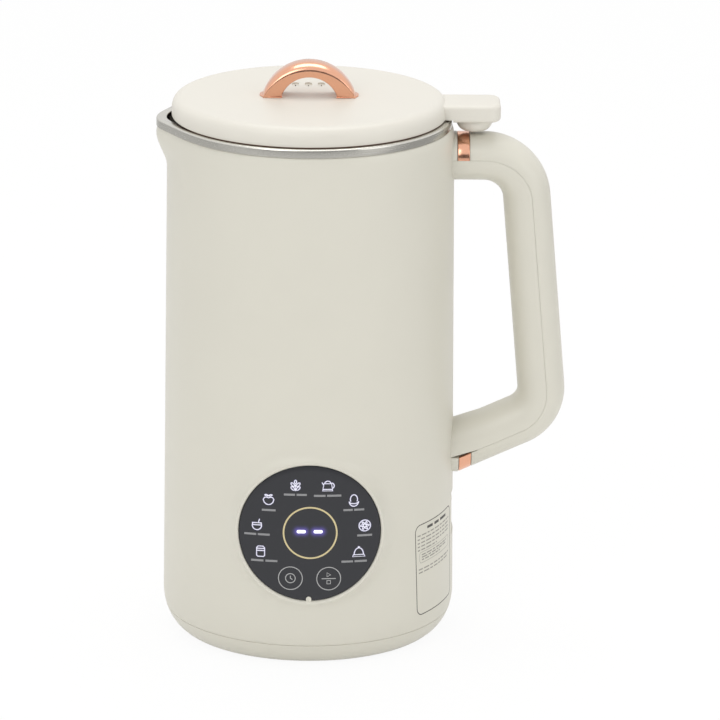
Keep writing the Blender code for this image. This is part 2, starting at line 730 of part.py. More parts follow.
def make_power_inlet(material):
    inlet = inlet_block("power_inlet", 0.0, 0.0, material)
    face = housing_radius(INLET_Z) - INLET_SETBACK
    floor = face - INLET_DEPTH + INLET_FLOOR
    cavity = block(
        "inlet_cavity",
        (floor, INLET_WALL - INLET_HALF_WIDTH, INLET_Z - INLET_HALF_HEIGHT + INLET_WALL),
        (face + CUT_OVERRUN, INLET_HALF_WIDTH - INLET_WALL, INLET_Z + INLET_HALF_HEIGHT - INLET_WALL),
        material,
    )
    cut(inlet, cavity)
    for name, y, z in (
        ("live_pin", -PIN_SPACING, INLET_Z - PIN_DROP),
        ("neutral_pin", PIN_SPACING, INLET_Z - PIN_DROP),
        ("earth_pin", 0.0, INLET_Z + PIN_DROP),
    ):
        pin = block(
            name,
            (floor - INLET_FLOOR / 2.0, y - PIN_HALF_THICKNESS, z - PIN_HALF_HEIGHT),
            (floor + PIN_LENGTH, y + PIN_HALF_THICKNESS, z + PIN_HALF_HEIGHT),
            material,
        )
        join(inlet, pin)


def make_base_cover(material):
    inner = housing_radius(SEAM_Z) - HOUSING_WALL - FIT_GAP
    flat_radius = housing_radius(BASE_UNDERSIDE_Z)
    floor_z = BASE_UNDERSIDE_Z + BASE_FLOOR
    profile = [(0.0, BASE_UNDERSIDE_Z)]
    for step in range(BASE_CORNER_STEPS + 1):
        z = BASE_UNDERSIDE_Z + (SEAM_Z - BASE_UNDERSIDE_Z) * step / BASE_CORNER_STEPS
        profile.append((housing_radius(z), z))
    profile += [
        (inner, SEAM_Z),
        (inner, SEAM_Z + BASE_TONGUE_HEIGHT),
        (inner - BASE_TONGUE_WALL, SEAM_Z + BASE_TONGUE_HEIGHT),
        (inner - BASE_TONGUE_WALL, SEAM_Z),
        (flat_radius, floor_z),
        (0.0, floor_z),
    ]
    base = turned("base_cover", profile, material, BODY_SEGMENTS)
    pillar_radius = BASE_SCREW_HEAD_RADIUS + FIT_GAP + BASE_PILLAR_WALL
    sink_z = BASE_UNDERSIDE_Z + BASE_SCREW_SINK
    pillars = []
    cuts = []
    for _, place in around(POST_COUNT, POST_FIRST_ANGLE, POST_CIRCLE_RADIUS):
        pillar_bottom = floor_z - BASE_FLOOR / 2.0
        pillars.append(rod("pillar", pillar_radius, pillar_bottom, SEAM_Z, material, place=place))
        cuts.append(
            turned(
                "screw_way",
                [
                    (0.0, BASE_UNDERSIDE_Z - CUT_OVERRUN),
                    (BASE_SCREW_HEAD_RADIUS + FIT_GAP, BASE_UNDERSIDE_Z - CUT_OVERRUN),
                    (BASE_SCREW_HEAD_RADIUS + FIT_GAP, sink_z),
                    (BASE_SCREW_RADIUS + FIT_GAP, sink_z),
                    (BASE_SCREW_RADIUS + FIT_GAP, SEAM_Z + CUT_OVERRUN),
                    (0.0, SEAM_Z + CUT_OVERRUN),
                ],
                material,
                place=place,
            )
        )
    for _, place in around(FOOT_COUNT, FOOT_FIRST_ANGLE, FOOT_CIRCLE_RADIUS):
        cuts.append(
            rod(
                "foot_pocket",
                FOOT_RADIUS + FIT_GAP,
                BASE_UNDERSIDE_Z - CUT_OVERRUN,
                BASE_UNDERSIDE_Z + FOOT_SUNK + FIT_GAP,
                material,
                place=place,
            )
        )
    for angle, _ in around(VENT_SLOT_COUNT, 0.0, 0.0):
        cuts.append(
            block(
                "base_vent",
                (VENT_SLOT_INNER_RADIUS, -VENT_SLOT_WIDTH / 2.0, BASE_UNDERSIDE_Z - CUT_OVERRUN),
                (VENT_SLOT_OUTER_RADIUS, VENT_SLOT_WIDTH / 2.0, floor_z + CUT_OVERRUN),
                material,
                turn=angle,
            )
        )
    join(base, gathered(pillars))
    cut(base, gathered(cuts))


def make_feet(material):
    for i, (_, place) in enumerate(around(FOOT_COUNT, FOOT_FIRST_ANGLE, FOOT_CIRCLE_RADIUS)):
        rod(
            f"rubber_foot_{i + 1}",
            FOOT_RADIUS,
            0.0,
            BASE_UNDERSIDE_Z + FOOT_SUNK,
            material,
            place=place,
        )


def screw_profile(head_radius, head, radius, length):
    """A screw that points up, its head's outer face at height 0."""
    return [
        (0.0, 0.0),
        (head_radius, 0.0),
        (head_radius, head),
        (radius, head),
        (radius, head + length),
        (0.0, head + length),
    ]


def make_base_screws(material):
    head_z = BASE_UNDERSIDE_Z + BASE_SCREW_SINK - FIT_GAP - BASE_SCREW_HEAD_HEIGHT
    profile = screw_profile(
        BASE_SCREW_HEAD_RADIUS, BASE_SCREW_HEAD_HEIGHT, BASE_SCREW_RADIUS, BASE_SCREW_LENGTH
    )
    for i, (_, place) in enumerate(around(POST_COUNT, POST_FIRST_ANGLE, POST_CIRCLE_RADIUS)):
        turned(f"base_screw_{i + 1}", profile, material, place=(place[0], place[1], head_z))


def lip_ring(z, inset):
    """The jug's wall above the lip's foot, where it opens to the mouth and to the spout."""
    share = (z - JUG_LIP_Z) / (RIM_TOP_Z - JUG_LIP_Z)
    radius = JUG_LIP_RADIUS + (MOUTH_RADIUS - JUG_LIP_RADIUS) * share
    reach = radius + (SPOUT_MOUTH_REACH - MOUTH_RADIUS) * smooth_step(share / LIP_SWELL_SHARE)
    return beak_ring(radius - inset, reach - inset, SPOUT_TIP_RADIUS - inset, z)


def rim_ring(z, inset):
    return beak_ring(RIM_RADIUS - inset, SPOUT_REACH - inset, SPOUT_TIP_RADIUS - inset, z)


def make_jug(material):
    hole = SEAL_NECK_RADIUS + FIT_GAP
    corner_turn = math.radians(JUG_CORNER_MIDDLE_ANGLE)

    def floor_rings(wall, floor_z):
        """The floor from its hole outwards and the corner up to the straight wall."""
        radius = JUG_FLOOR_RADIUS + wall
        bend = JUG_CORNER + wall
        return [
            round_ring(hole, floor_z),
            round_ring(radius - bend, floor_z),
            round_ring(
                radius - bend * (1.0 - math.sin(corner_turn)),
                floor_z + bend * (1.0 - math.cos(corner_turn)),
            ),
            round_ring(radius, floor_z + bend),
        ]

    levels = [JUG_LIP_Z + (HOUSING_TOP_Z - JUG_LIP_Z) * share for share in LIP_RING_SHARES]
    rings = floor_rings(SHEET, JUG_UNDERSIDE_Z)
    rings += [lip_ring(z, -SHEET) for z in levels[:-1]]
    rings += [
        lip_ring(RIM_TOP_Z - SHEET, -SHEET),
        rim_ring(RIM_TOP_Z - SHEET, SHEET),
        rim_ring(RIM_BAND_Z, SHEET),
        rim_ring(RIM_BAND_Z, 0.0),
        rim_ring(RIM_TOP_Z - RIM_ROLL, 0.0),
        rim_ring(RIM_TOP_Z, RIM_ROLL),
        lip_ring(RIM_TOP_Z, 0.0),
    ]
    rings += [lip_ring(z, 0.0) for z in reversed(levels[:-1])]
    rings += reversed(floor_rings(0.0, JUG_FLOOR_Z))
    jug = lofted("inner_jug", rings, material, closed=True)

    studs = []
    holes = [
        rod(
            "probe_hole",
            PROBE_RADIUS + FIT_GAP,
            JUG_UNDERSIDE_Z - CUT_OVERRUN,
            JUG_FLOOR_Z + CUT_OVERRUN,
            material,
            place=(0.0, PROBE_CIRCLE_RADIUS, 0.0),
        )
    ]
    for _, place in around(STUD_COUNT, STUD_FIRST_ANGLE, STUD_CIRCLE_RADIUS):
        stud_top = JUG_UNDERSIDE_Z + SHEET / 2.0
        studs.append(rod("stud", STUD_RADIUS, STUD_BOTTOM_Z, stud_top, material, place=place))
        holes.append(
            rod(
                "stud_hole",
                CARRIER_SCREW_RADIUS + FIT_GAP,
                STUD_BOTTOM_Z - CUT_OVERRUN,
                STUD_BOTTOM_Z + STUD_HOLE_DEPTH,
                material,
                place=place,
            )
        )
    wall = jug_wall_radius(OVERFLOW_PROBE_Z)
    overflow_hole = rod(
        "overflow_hole",
        OVERFLOW_NECK_RADIUS + FIT_GAP,
        wall - CUT_OVERRUN,
        wall + SHEET + CUT_OVERRUN,
        material,
    )
    lay_along(overflow_hole, OVERFLOW_PROBE_ANGLE)
    overflow_hole.location = (0.0, 0.0, OVERFLOW_PROBE_Z)
    holes.append(overflow_hole)
    join(jug, gathered(studs))
    cut(jug, gathered(holes))


def jug_wall_radius(z):
    """Inner radius of the jug's straight wall."""
    low = JUG_FLOOR_Z + JUG_CORNER
    share = (z - low) / (JUG_LIP_Z - low)
    return JUG_FLOOR_RADIUS + (JUG_LIP_RADIUS - JUG_FLOOR_RADIUS) * share


def make_heater(material):
    top = JUG_UNDERSIDE_Z - FIT_GAP
    under = top - HEATER_PLATE
    tube_turn = math.radians(HEATER_TUBE_ANGLE)
    side = HEATER_TUBE_RADIUS * math.sin(tube_turn)
    drop = HEATER_TUBE_RADIUS * (1.0 + math.cos(tube_turn))
    profile = [
        (HEATER_INNER_RADIUS, top),
        (HEATER_OUTER_RADIUS, top),
        (HEATER_OUTER_RADIUS, under),
        (HEATER_CIRCLE_RADIUS + HEATER_TUBE_RADIUS, under),
        (HEATER_CIRCLE_RADIUS + side, under - HEATER_TUBE_RADIUS / 2.0),
        (HEATER_CIRCLE_RADIUS, under - drop / 2.0 - HEATER_TUBE_RADIUS / 4.0),
        (HEATER_CIRCLE_RADIUS - side, under - HEATER_TUBE_RADIUS / 2.0),
        (HEATER_CIRCLE_RADIUS - HEATER_TUBE_RADIUS, under),
        (HEATER_INNER_RADIUS, under),
    ]
    turned("heating_ring", profile, material, ROUND_SEGMENTS)


def make_probes(steel):
    flange_z = JUG_FLOOR_Z + FIT_GAP
    turned(
        "temperature_probe",
        [
            (0.0, flange_z - PROBE_DROP),
            (PROBE_RADIUS, flange_z - PROBE_DROP),
            (PROBE_RADIUS, flange_z),
            (PROBE_FLANGE_RADIUS, flange_z),
            (PROBE_FLANGE_RADIUS, flange_z + PROBE_FLANGE),
            (PROBE_RADIUS, flange_z + PROBE_FLANGE),
            (PROBE_RADIUS, flange_z + PROBE_RISE - PROBE_FLANGE),
            (PROBE_RADIUS / 2.0, flange_z + PROBE_RISE),
            (0.0, flange_z + PROBE_RISE),
        ],
        steel,
        place=(0.0, PROBE_CIRCLE_RADIUS, 0.0),
    )
    inner = jug_wall_radius(OVERFLOW_PROBE_Z) - FACET_CLEARANCE
    outer = jug_wall_radius(OVERFLOW_PROBE_Z) + SHEET + FIT_GAP
    probe = turned(
        "overflow_probe",
        [
            (0.0, inner - OVERFLOW_BUTTON_DEPTH),
            (OVERFLOW_BUTTON_RADIUS, inner - OVERFLOW_BUTTON_DEPTH),
            (OVERFLOW_BUTTON_RADIUS, inner),
            (OVERFLOW_NECK_RADIUS, inner),
            (OVERFLOW_NECK_RADIUS, outer),
            (OVERFLOW_BUTTON_RADIUS, outer),
            (OVERFLOW_BUTTON_RADIUS, outer + OVERFLOW_NUT_DEPTH),
            (0.0, outer + OVERFLOW_NUT_DEPTH),
        ],
        steel,
    )
    lay_along(probe, OVERFLOW_PROBE_ANGLE)
    probe.location = (0.0, 0.0, OVERFLOW_PROBE_Z)


def make_shaft_seal(rubber, brass):
    flange_z = JUG_FLOOR_Z + FIT_GAP
    bore = SHAFT_RADIUS + FIT_GAP
    turned(
        "shaft_seal",
        [
            (bore, flange_z - SEAL_DROP),
            (SEAL_NECK_RADIUS, flange_z - SEAL_DROP),
            (SEAL_NECK_RADIUS, flange_z),
            (SEAL_FLANGE_RADIUS, flange_z),
            (SEAL_FLANGE_RADIUS, flange_z + SEAL_FLANGE / 2.0),
            (SEAL_CROWN_RADIUS, flange_z + SEAL_FLANGE),
            (SEAL_CROWN_RADIUS, flange_z + SEAL_FLANGE + SEAL_CROWN_HEIGHT),
            (bore, flange_z + SEAL_FLANGE + SEAL_CROWN_HEIGHT),
        ],
        rubber,
        ROUND_SEGMENTS,
    )
    top = JUG_UNDERSIDE_Z - FIT_GAP
    nut = rod("seal_nut", SEAL_NUT_RADIUS, top - SEAL_NUT_HEIGHT, top, brass, SEAL_NUT_SIDES)
    hole = rod(
        "seal_nut_hole",
        SEAL_NECK_RADIUS + FIT_GAP,
        top - SEAL_NUT_HEIGHT - CUT_OVERRUN,
        top + CUT_OVERRUN,
        brass,
        ROUND_SEGMENTS,
    )
    cut(nut, hole)


def motor_bolt_places():
    for side, turn in ((1, MOTOR_BOLT_ANGLE), (2, MOTOR_BOLT_ANGLE + 180.0)):
        angle = math.radians(turn)
        place = (
            MOTOR_BOLT_CIRCLE_RADIUS * math.cos(angle),
            MOTOR_BOLT_CIRCLE_RADIUS * math.sin(angle),
            0.0,
        )
        yield side, place


def bearing_cup(name, radius, bottom, top, lip_top, material):
    """A cup open at the far side of its lip, round a bearing of that radius."""
    inner = radius + FIT_GAP
    outer = inner + BEARING_CUP_WALL
    bore = SHAFT_RADIUS + BEARING_LIP
    lip = BEARING_LIP if lip_top else -BEARING_LIP
    closed_z = top if lip_top else bottom
    open_z = bottom if lip_top else top
    profile = [
        (inner, open_z),
        (outer, open_z),
        (outer, closed_z),
        (bore, closed_z),
        (bore, closed_z - lip),
        (inner, closed_z - lip),
    ]
    return turned(name, profile, material, ROUND_SEGMENTS)


def make_motor_carrier(material):
    """The plate that hangs the motor from the jug's studs, with the upper bearing's cup."""
    cup_bottom = CARRIER_TOP_Z - BEARING_LIP - FIT_GAP - BEARING_HEIGHT
    cup_outer = UPPER_BEARING_RADIUS + FIT_GAP + BEARING_CUP_WALL
    plate = turned(
        "motor_carrier",
        [
            (cup_outer - BEARING_CUP_WALL / 2.0, CARRIER_BOTTOM_Z),
            (CARRIER_RADIUS, CARRIER_BOTTOM_Z),
            (CARRIER_RADIUS, CARRIER_TOP_Z),
            (cup_outer - BEARING_CUP_WALL / 2.0, CARRIER_TOP_Z),
        ],
        material,
        ROUND_SEGMENTS,
    )
    cup = bearing_cup("upper_cup", UPPER_BEARING_RADIUS, cup_bottom, CARRIER_TOP_Z, True, material)
    join(plate, cup)
    legs = []
    holes = []
    for _, place in motor_bolt_places():
        leg_top = CARRIER_BOTTOM_Z + CARRIER_PLATE / 2.0
        leg_bottom = STATOR_TOP_Z + FIT_GAP
        legs.append(rod("carrier_leg", LEG_RADIUS, leg_bottom, leg_top, material, place=place))
        holes.append(
            rod(
                "carrier_bolt_hole",
                MOTOR_BOLT_RADIUS + FIT_GAP,
                STATOR_TOP_Z,
                CARRIER_TOP_Z + CUT_OVERRUN,
                material,
                place=place,
            )
        )
    for _, place in around(STUD_COUNT, STUD_FIRST_ANGLE, STUD_CIRCLE_RADIUS):
        holes.append(
            rod(
                "carrier_hole",
                CARRIER_SCREW_RADIUS + FIT_GAP,
                CARRIER_BOTTOM_Z - CUT_OVERRUN,
                CARRIER_TOP_Z + CUT_OVERRUN,
                material,
                place=place,
            )
        )
    join(plate, gathered(legs))
    cut(plate, gathered(holes))


def make_carrier_screws(material):
    profile = screw_profile(
        CARRIER_SCREW_HEAD_RADIUS, CARRIER_SCREW_HEAD, CARRIER_SCREW_RADIUS, CARRIER_SCREW_LENGTH
    )
    head_z = CARRIER_BOTTOM_Z - FIT_GAP - CARRIER_SCREW_HEAD
    for i, (_, place) in enumerate(around(STUD_COUNT, STUD_FIRST_ANGLE, STUD_CIRCLE_RADIUS)):
        turned(f"carrier_screw_{i + 1}", profile, material, place=(place[0], place[1], head_z))


def make_bearings(material):
    bore = SHAFT_RADIUS + RUNNING_GAP
    upper_top = CARRIER_TOP_Z - BEARING_LIP - FIT_GAP
    lower_bottom = LOWER_BRACKET_TOP_Z - BEARING_HEIGHT - FIT_GAP
    for name, radius, bottom in (
        ("upper_bearing", UPPER_BEARING_RADIUS, upper_top - BEARING_HEIGHT),
        ("lower_bearing", LOWER_BEARING_RADIUS, lower_bottom),
    ):
        top = bottom + BEARING_HEIGHT
        profile = [(bore, bottom), (radius, bottom), (radius, top), (bore, top)]
        turned(name, profile, material, ROUND_SEGMENTS)


def make_lower_bracket(material):
    cup_bottom = LOWER_BRACKET_TOP_Z - BEARING_HEIGHT - FIT_GAP - FIT_GAP - BEARING_LIP
    cup_outer = LOWER_BEARING_RADIUS + FIT_GAP + BEARING_CUP_WALL
    reach = MOTOR_BOLT_CIRCLE_RADIUS + LEG_RADIUS / 2.0
    bar = block(
        "lower_bracket",
        (-reach, -LOWER_BRACKET_HALF_WIDTH, LOWER_BRACKET_Z),
        (reach, LOWER_BRACKET_HALF_WIDTH, LOWER_BRACKET_TOP_Z),
        material,
        turn=MOTOR_BOLT_ANGLE,
    )
    opening = rod(
        "cup_opening",
        cup_outer - BEARING_CUP_WALL / 2.0,
        LOWER_BRACKET_Z - CUT_OVERRUN,
        LOWER_BRACKET_TOP_Z + CUT_OVERRUN,
        material,
        ROUND_SEGMENTS,
    )
    cut(bar, opening)
    cup = bearing_cup(
        "lower_cup", LOWER_BEARING_RADIUS, cup_bottom, LOWER_BRACKET_TOP_Z, False, material
    )
    join(bar, cup)
    legs = []
    holes = []
    for _, place in motor_bolt_places():
        leg_bottom = LOWER_BRACKET_Z + LOWER_BRACKET_PLATE / 2.0
        leg_top = STATOR_BOTTOM_Z - FIT_GAP
        legs.append(rod("bracket_leg", LEG_RADIUS, leg_bottom, leg_top, material, place=place))
        holes.append(
            rod(
                "bracket_hole",
                MOTOR_BOLT_RADIUS + FIT_GAP,
                LOWER_BRACKET_Z - CUT_OVERRUN,
                STATOR_BOTTOM_Z + CUT_OVERRUN,
                material,
                place=place,
            )
        )
    join(bar, gathered(legs))
    cut(bar, gathered(holes))


def make_motor_bolts(material):
    head_z = LOWER_BRACKET_Z - FIT_GAP - MOTOR_BOLT_HEAD
    length = CARRIER_TOP_Z - LOWER_BRACKET_Z + FIT_GAP - BEARING_LIP
    profile = screw_profile(MOTOR_BOLT_HEAD_RADIUS, MOTOR_BOLT_HEAD, MOTOR_BOLT_RADIUS, length)
    for side, place in motor_bolt_places():
        turned(f"motor_bolt_{side}", profile, material, place=(place[0], place[1], head_z))


def arc_block(name, inner, outer, middle_angle, half_angle, bottom, top, steps, material):
    """An upright block between two radii and two angles."""
    angles = [
        math.radians(middle_angle - half_angle + 2.0 * half_angle * i / steps)
        for i in range(steps + 1)
    ]
    outline = [(outer * math.cos(a), outer * math.sin(a)) for a in angles]
    outline += [(inner * math.cos(a), inner * math.sin(a)) for a in reversed(angles)]
    rings = [[(x, y, z) for x, y in outline] for z in (bottom, top)]
    return lofted(name, rings, material)


def make_stator(material):
    stator = block(
        "stator_core",
        (-STATOR_HALF_WIDTH, -STATOR_HALF_WIDTH, STATOR_BOTTOM_Z),
        (STATOR_HALF_WIDTH, STATOR_HALF_WIDTH, STATOR_TOP_Z),
        material,
    )
    corners = rod(
        "stator_corners",
        STATOR_CORNER_RADIUS,
        STATOR_BOTTOM_Z - CUT_OVERRUN,
        STATOR_TOP_Z + CUT_OVERRUN,
        material,
        ROUND_SEGMENTS,
    )
    bore = rod(
        "stator_bore",
        STATOR_BORE_RADIUS,
        STATOR_BOTTOM_Z - CUT_OVERRUN,
        STATOR_TOP_Z + CUT_OVERRUN,
        material,
        ROUND_SEGMENTS,
    )
    keep_inside(stator, corners)
    cut(stator, bore)
    for side, angle in (("front", -90.0), ("back", 90.0)):
        neck = block(
            f"{side}_neck",
            (POLE_SHOE_RADIUS + POLE_SHOE_THICKNESS / 2.0, -POLE_NECK_HALF_WIDTH, STATOR_BOTTOM_Z),
            (STATOR_BORE_RADIUS + POLE_SHOE_THICKNESS / 2.0, POLE_NECK_HALF_WIDTH, STATOR_TOP_Z),
            material,
            turn=angle,
        )
        shoe = arc_block(
            f"{side}_shoe",
            POLE_SHOE_RADIUS,
            POLE_SHOE_RADIUS + POLE_SHOE_THICKNESS,
            angle,
            POLE_SHOE_HALF_ANGLE,
            STATOR_BOTTOM_Z,
            STATOR_TOP_Z,
            POLE_SHOE_STEPS,
            material,
        )
        join(shoe, neck)
        join(stator, shoe)
    holes = [
        rod(
            "stator_hole",
            MOTOR_BOLT_RADIUS + FIT_GAP,
            STATOR_BOTTOM_Z - CUT_OVERRUN,
            STATOR_TOP_Z + CUT_OVERRUN,
            material,
            place=place,
        )
        for _, place in motor_bolt_places()
    ]
    cut(stator, gathered(holes))


def make_field_coils(material):
    for side, angle in (("front", -90.0), ("back", 90.0)):
        coil = block(
            f"{side}_field_coil",
            (COIL_INNER_REACH, -COIL_HALF_WIDTH, STATOR_BOTTOM_Z - COIL_OVERHANG),
            (COIL_OUTER_REACH, COIL_HALF_WIDTH, STATOR_TOP_Z + COIL_OVERHANG),
            material,
            turn=angle,
        )
        core = block(
            f"{side}_coil_core",
            (
                COIL_INNER_REACH - CUT_OVERRUN,
                -POLE_NECK_HALF_WIDTH - FIT_GAP,
                STATOR_BOTTOM_Z - FIT_GAP,
            ),
            (
                COIL_OUTER_REACH + CUT_OVERRUN,
                POLE_NECK_HALF_WIDTH + FIT_GAP,
                STATOR_TOP_Z + FIT_GAP,
            ),
            material,
            turn=angle,
        )
        cut(coil, core)


def make_armature(material):
    """Slotted core with its windings, on the shaft."""
    radius = POLE_SHOE_RADIUS - ARMATURE_GAP
    outline = []
    for slot in range(ARMATURE_SLOTS):
        for share, depth in (
            (ARMATURE_TOOTH_SHARES[0], 0.0),
            (ARMATURE_TOOTH_SHARES[1], 0.0),
            (ARMATURE_TOOTH_SHARES[1], ARMATURE_SLOT_DEPTH),
            (1.0, ARMATURE_SLOT_DEPTH),
        ):
            angle = math.tau * (slot + share) / ARMATURE_SLOTS
            reach = radius - depth
            outline.append((reach * math.cos(angle), reach * math.sin(angle)))
    rings = [[(x, y, z) for x, y in outline] for z in (STATOR_BOTTOM_Z, STATOR_TOP_Z)]
    core = lofted("armature", rings, material)
    winding = rod(
        "armature_winding",
        WINDING_RADIUS,
        STATOR_BOTTOM_Z - WINDING_OVERHANG,
        STATOR_TOP_Z + WINDING_OVERHANG,
        material,
        ROUND_SEGMENTS,
    )
    bore = rod(
        "armature_bore",
        SHAFT_RADIUS + FIT_GAP,
        STATOR_BOTTOM_Z - WINDING_OVERHANG - CUT_OVERRUN,
        STATOR_TOP_Z + WINDING_OVERHANG + CUT_OVERRUN,
        material,
        ROUND_SEGMENTS,
    )
    join(core, winding)
    cut(core, bore)


def make_commutator(material):
    bottom = LOWER_BRACKET_TOP_Z + COMMUTATOR_LIFT
    top = bottom + COMMUTATOR_HEIGHT
    bore = SHAFT_RADIUS + FIT_GAP
    riser_z = top - COMMUTATOR_RISER
    profile = [
        (bore, bottom),
        (COMMUTATOR_RADIUS, bottom),
        (COMMUTATOR_RADIUS, riser_z),
        (COMMUTATOR_RADIUS + COMMUTATOR_RISER, riser_z),
        (COMMUTATOR_RADIUS + COMMUTATOR_RISER, top),
        (bore, top),
    ]
    turned("commutator", profile, material, ROUND_SEGMENTS)


def make_brush_holders(material):
    """A sleeve each side of the commutator that stands on the lower bracket, brush inside."""
    inner = COMMUTATOR_RADIUS + BRUSH_GAP
    bottom = LOWER_BRACKET_TOP_Z + FIT_GAP
    top = bottom + COMMUTATOR_LIFT + COMMUTATOR_HEIGHT - COMMUTATOR_RISER - BRUSH_GAP - FIT_GAP
    for side, angle in ((1, MOTOR_BOLT_ANGLE), (2, MOTOR_BOLT_ANGLE + 180.0)):
        holder = block(
            f"brush_holder_{side}",
            (LOWER_BEARING_RADIUS + BRUSH_GAP, -BRUSH_HALF_WIDTH, bottom),
            (inner + BRUSH_HOLDER_LENGTH, BRUSH_HALF_WIDTH, top),
            material,
            turn=angle,
        )
        clearance = rod(
            f"commutator_clearance_{side}",
            inner,
            bottom - CUT_OVERRUN,
            top + CUT_OVERRUN,
            material,
            ROUND_SEGMENTS,
        )
        cut(holder, clearance)


def make_fan(material):
    bore = SHAFT_RADIUS + FIT_GAP
    bottom = SHAFT_BOTTOM_Z
    top = bottom + FAN_HEIGHT
    profile = [
        (bore, bottom),
        (FAN_HUB_RADIUS, bottom),
        (FAN_HUB_RADIUS, top - FAN_DISC),
        (FAN_RADIUS, top - FAN_DISC),
        (FAN_RADIUS, top),
        (bore, top),
    ]
    fan = turned("cooling_fan", profile, material, ROUND_SEGMENTS)
    vanes = [
        block(
            "fan_vane",
            (FAN_HUB_RADIUS - FAN_DISC / 2.0, -FAN_VANE_THICKNESS / 2.0, bottom + FAN_DISC),
            (FAN_RADIUS - FAN_DISC / 2.0, FAN_VANE_THICKNESS / 2.0, top - FAN_DISC / 2.0),
            material,
            turn=angle,
        )
        for angle, _ in around(FAN_VANE_COUNT, 0.0, 0.0)
    ]
    join(fan, gathered(vanes))


def make_shaft(material):
    """Motor shaft with the shoulder that carries the blades and the stub that takes their nut."""
    shoulder_top = SHAFT_SHOULDER_Z + SHAFT_SHOULDER_HEIGHT
    profile = [
        (0.0, SHAFT_BOTTOM_Z),
        (SHAFT_RADIUS, SHAFT_BOTTOM_Z),
        (SHAFT_RADIUS, SHAFT_SHOULDER_Z),
        (SHAFT_SHOULDER_RADIUS, SHAFT_SHOULDER_Z),
        (SHAFT_SHOULDER_RADIUS, shoulder_top),
        (SHAFT_RADIUS, shoulder_top),
        (SHAFT_RADIUS, shoulder_top + SHAFT_STUB),
        (0.0, shoulder_top + SHAFT_STUB),
    ]
    turned("motor_shaft", profile, material, ROUND_SEGMENTS)


def make_blade(name, reach, bend, bottom, turn, material):
    """A two-armed blade: flat round the shaft, each arm bent up or down and narrowing to its tip."""
    rise = (reach - BLADE_FLAT_REACH) * math.tan(math.radians(bend))
    rings = []
    for x, lift, half_width in (
        (-reach, rise, BLADE_TIP_HALF_WIDTH),
        (-BLADE_FLAT_REACH, 0.0, BLADE_ROOT_HALF_WIDTH),
        (BLADE_FLAT_REACH, 0.0, BLADE_ROOT_HALF_WIDTH),
        (reach, rise, BLADE_TIP_HALF_WIDTH),
    ):
        low = bottom + lift
        high = low + BLADE_THICKNESS
        edge = half_width * BLADE_EDGE_SHARE
        rings.append([(x, -half_width, low), (x, half_width, low), (x, edge, high), (x, -edge, high)])
    blade = lofted(name, rings, material, turn=turn)
    bore = rod(
        f"{name}_bore",
        SHAFT_RADIUS + FIT_GAP,
        bottom - CUT_OVERRUN,
        bottom + BLADE_THICKNESS + CUT_OVERRUN,
        material,
    )
    cut(blade, bore)


def make_blade_nut(material):
    dome_z = BLADE_NUT_Z + BLADE_NUT_HEIGHT
    profile = [
        (0.0, BLADE_NUT_Z),
        (BLADE_NUT_RADIUS, BLADE_NUT_Z),
        (BLADE_NUT_RADIUS, dome_z),
        (BLADE_NUT_RADIUS / 2.0, dome_z + BLADE_NUT_DOME),
        (0.0, dome_z + BLADE_NUT_DOME),
    ]
    nut = turned("blade_nut", profile, material, BLADE_NUT_SIDES)
    shaft_top = SHAFT_SHOULDER_Z + SHAFT_SHOULDER_HEIGHT + SHAFT_STUB
    hole = rod(
        "blade_nut_hole",
        SHAFT_RADIUS + FIT_GAP,
        BLADE_NUT_Z - CUT_OVERRUN,
        shaft_top + FIT_GAP,
        material,
    )
    cut(nut, hole)


def make_lens(material):
    panel_disc(
        "panel_lens",
        LENS_RADIUS,
        LENS_RADIUS,
        lambda x: panel_front_y(x, 0.0),
        lambda x: panel_front_y(x, LENS_THICKNESS),
        material,
    )


def make_display(board, black, steel):
    """The board behind the lens, its digit module and the two touch springs."""
    back_y = DISPLAY_BOARD_Y + BOARD_THICKNESS
    inner = housing_radius(PANEL_Z + DISPLAY_BOARD_HALF_HEIGHT) - HOUSING_WALL
    half_width = math.sqrt(inner**2 - DISPLAY_BOARD_Y**2) - FACET_CLEARANCE
    block(
        "display_board",
        (-half_width, DISPLAY_BOARD_Y, PANEL_Z - DISPLAY_BOARD_HALF_HEIGHT),
        (half_width, back_y, PANEL_Z + DISPLAY_BOARD_HALF_HEIGHT),
        board,
    )
    block(
        "digit_module",
        (
            -DIGITS_HALF_WIDTH,
            panel_front_y(DIGITS_HALF_WIDTH, LENS_THICKNESS) + FIT_GAP,
            PANEL_Z - DIGITS_HALF_HEIGHT,
        ),
        (DIGITS_HALF_WIDTH, DISPLAY_BOARD_Y - FIT_GAP, PANEL_Z + DIGITS_HALF_HEIGHT),
        black,
    )
    contact = panel_front_y(TOUCH_SPRING_X + TOUCH_SPRING_RADIUS, LENS_THICKNESS) + FIT_GAP
    length = DISPLAY_BOARD_Y - FIT_GAP - contact
    inner = TOUCH_SPRING_RADIUS - TOUCH_SPRING_WALL
    profile = [
        (inner, 0.0),
        (TOUCH_SPRING_RADIUS, 0.0),
        (TOUCH_SPRING_RADIUS, length),
        (inner, length),
    ]
    for name, x in (("left", -TOUCH_SPRING_X), ("right", TOUCH_SPRING_X)):
        spring = turned(f"{name}_touch_spring", profile, steel)
        spring.rotation_euler = (math.radians(90.0), 0.0, 0.0)
        spring.location = (x, DISPLAY_BOARD_Y - FIT_GAP, PANEL_Z - TOUCH_SPRING_DROP)


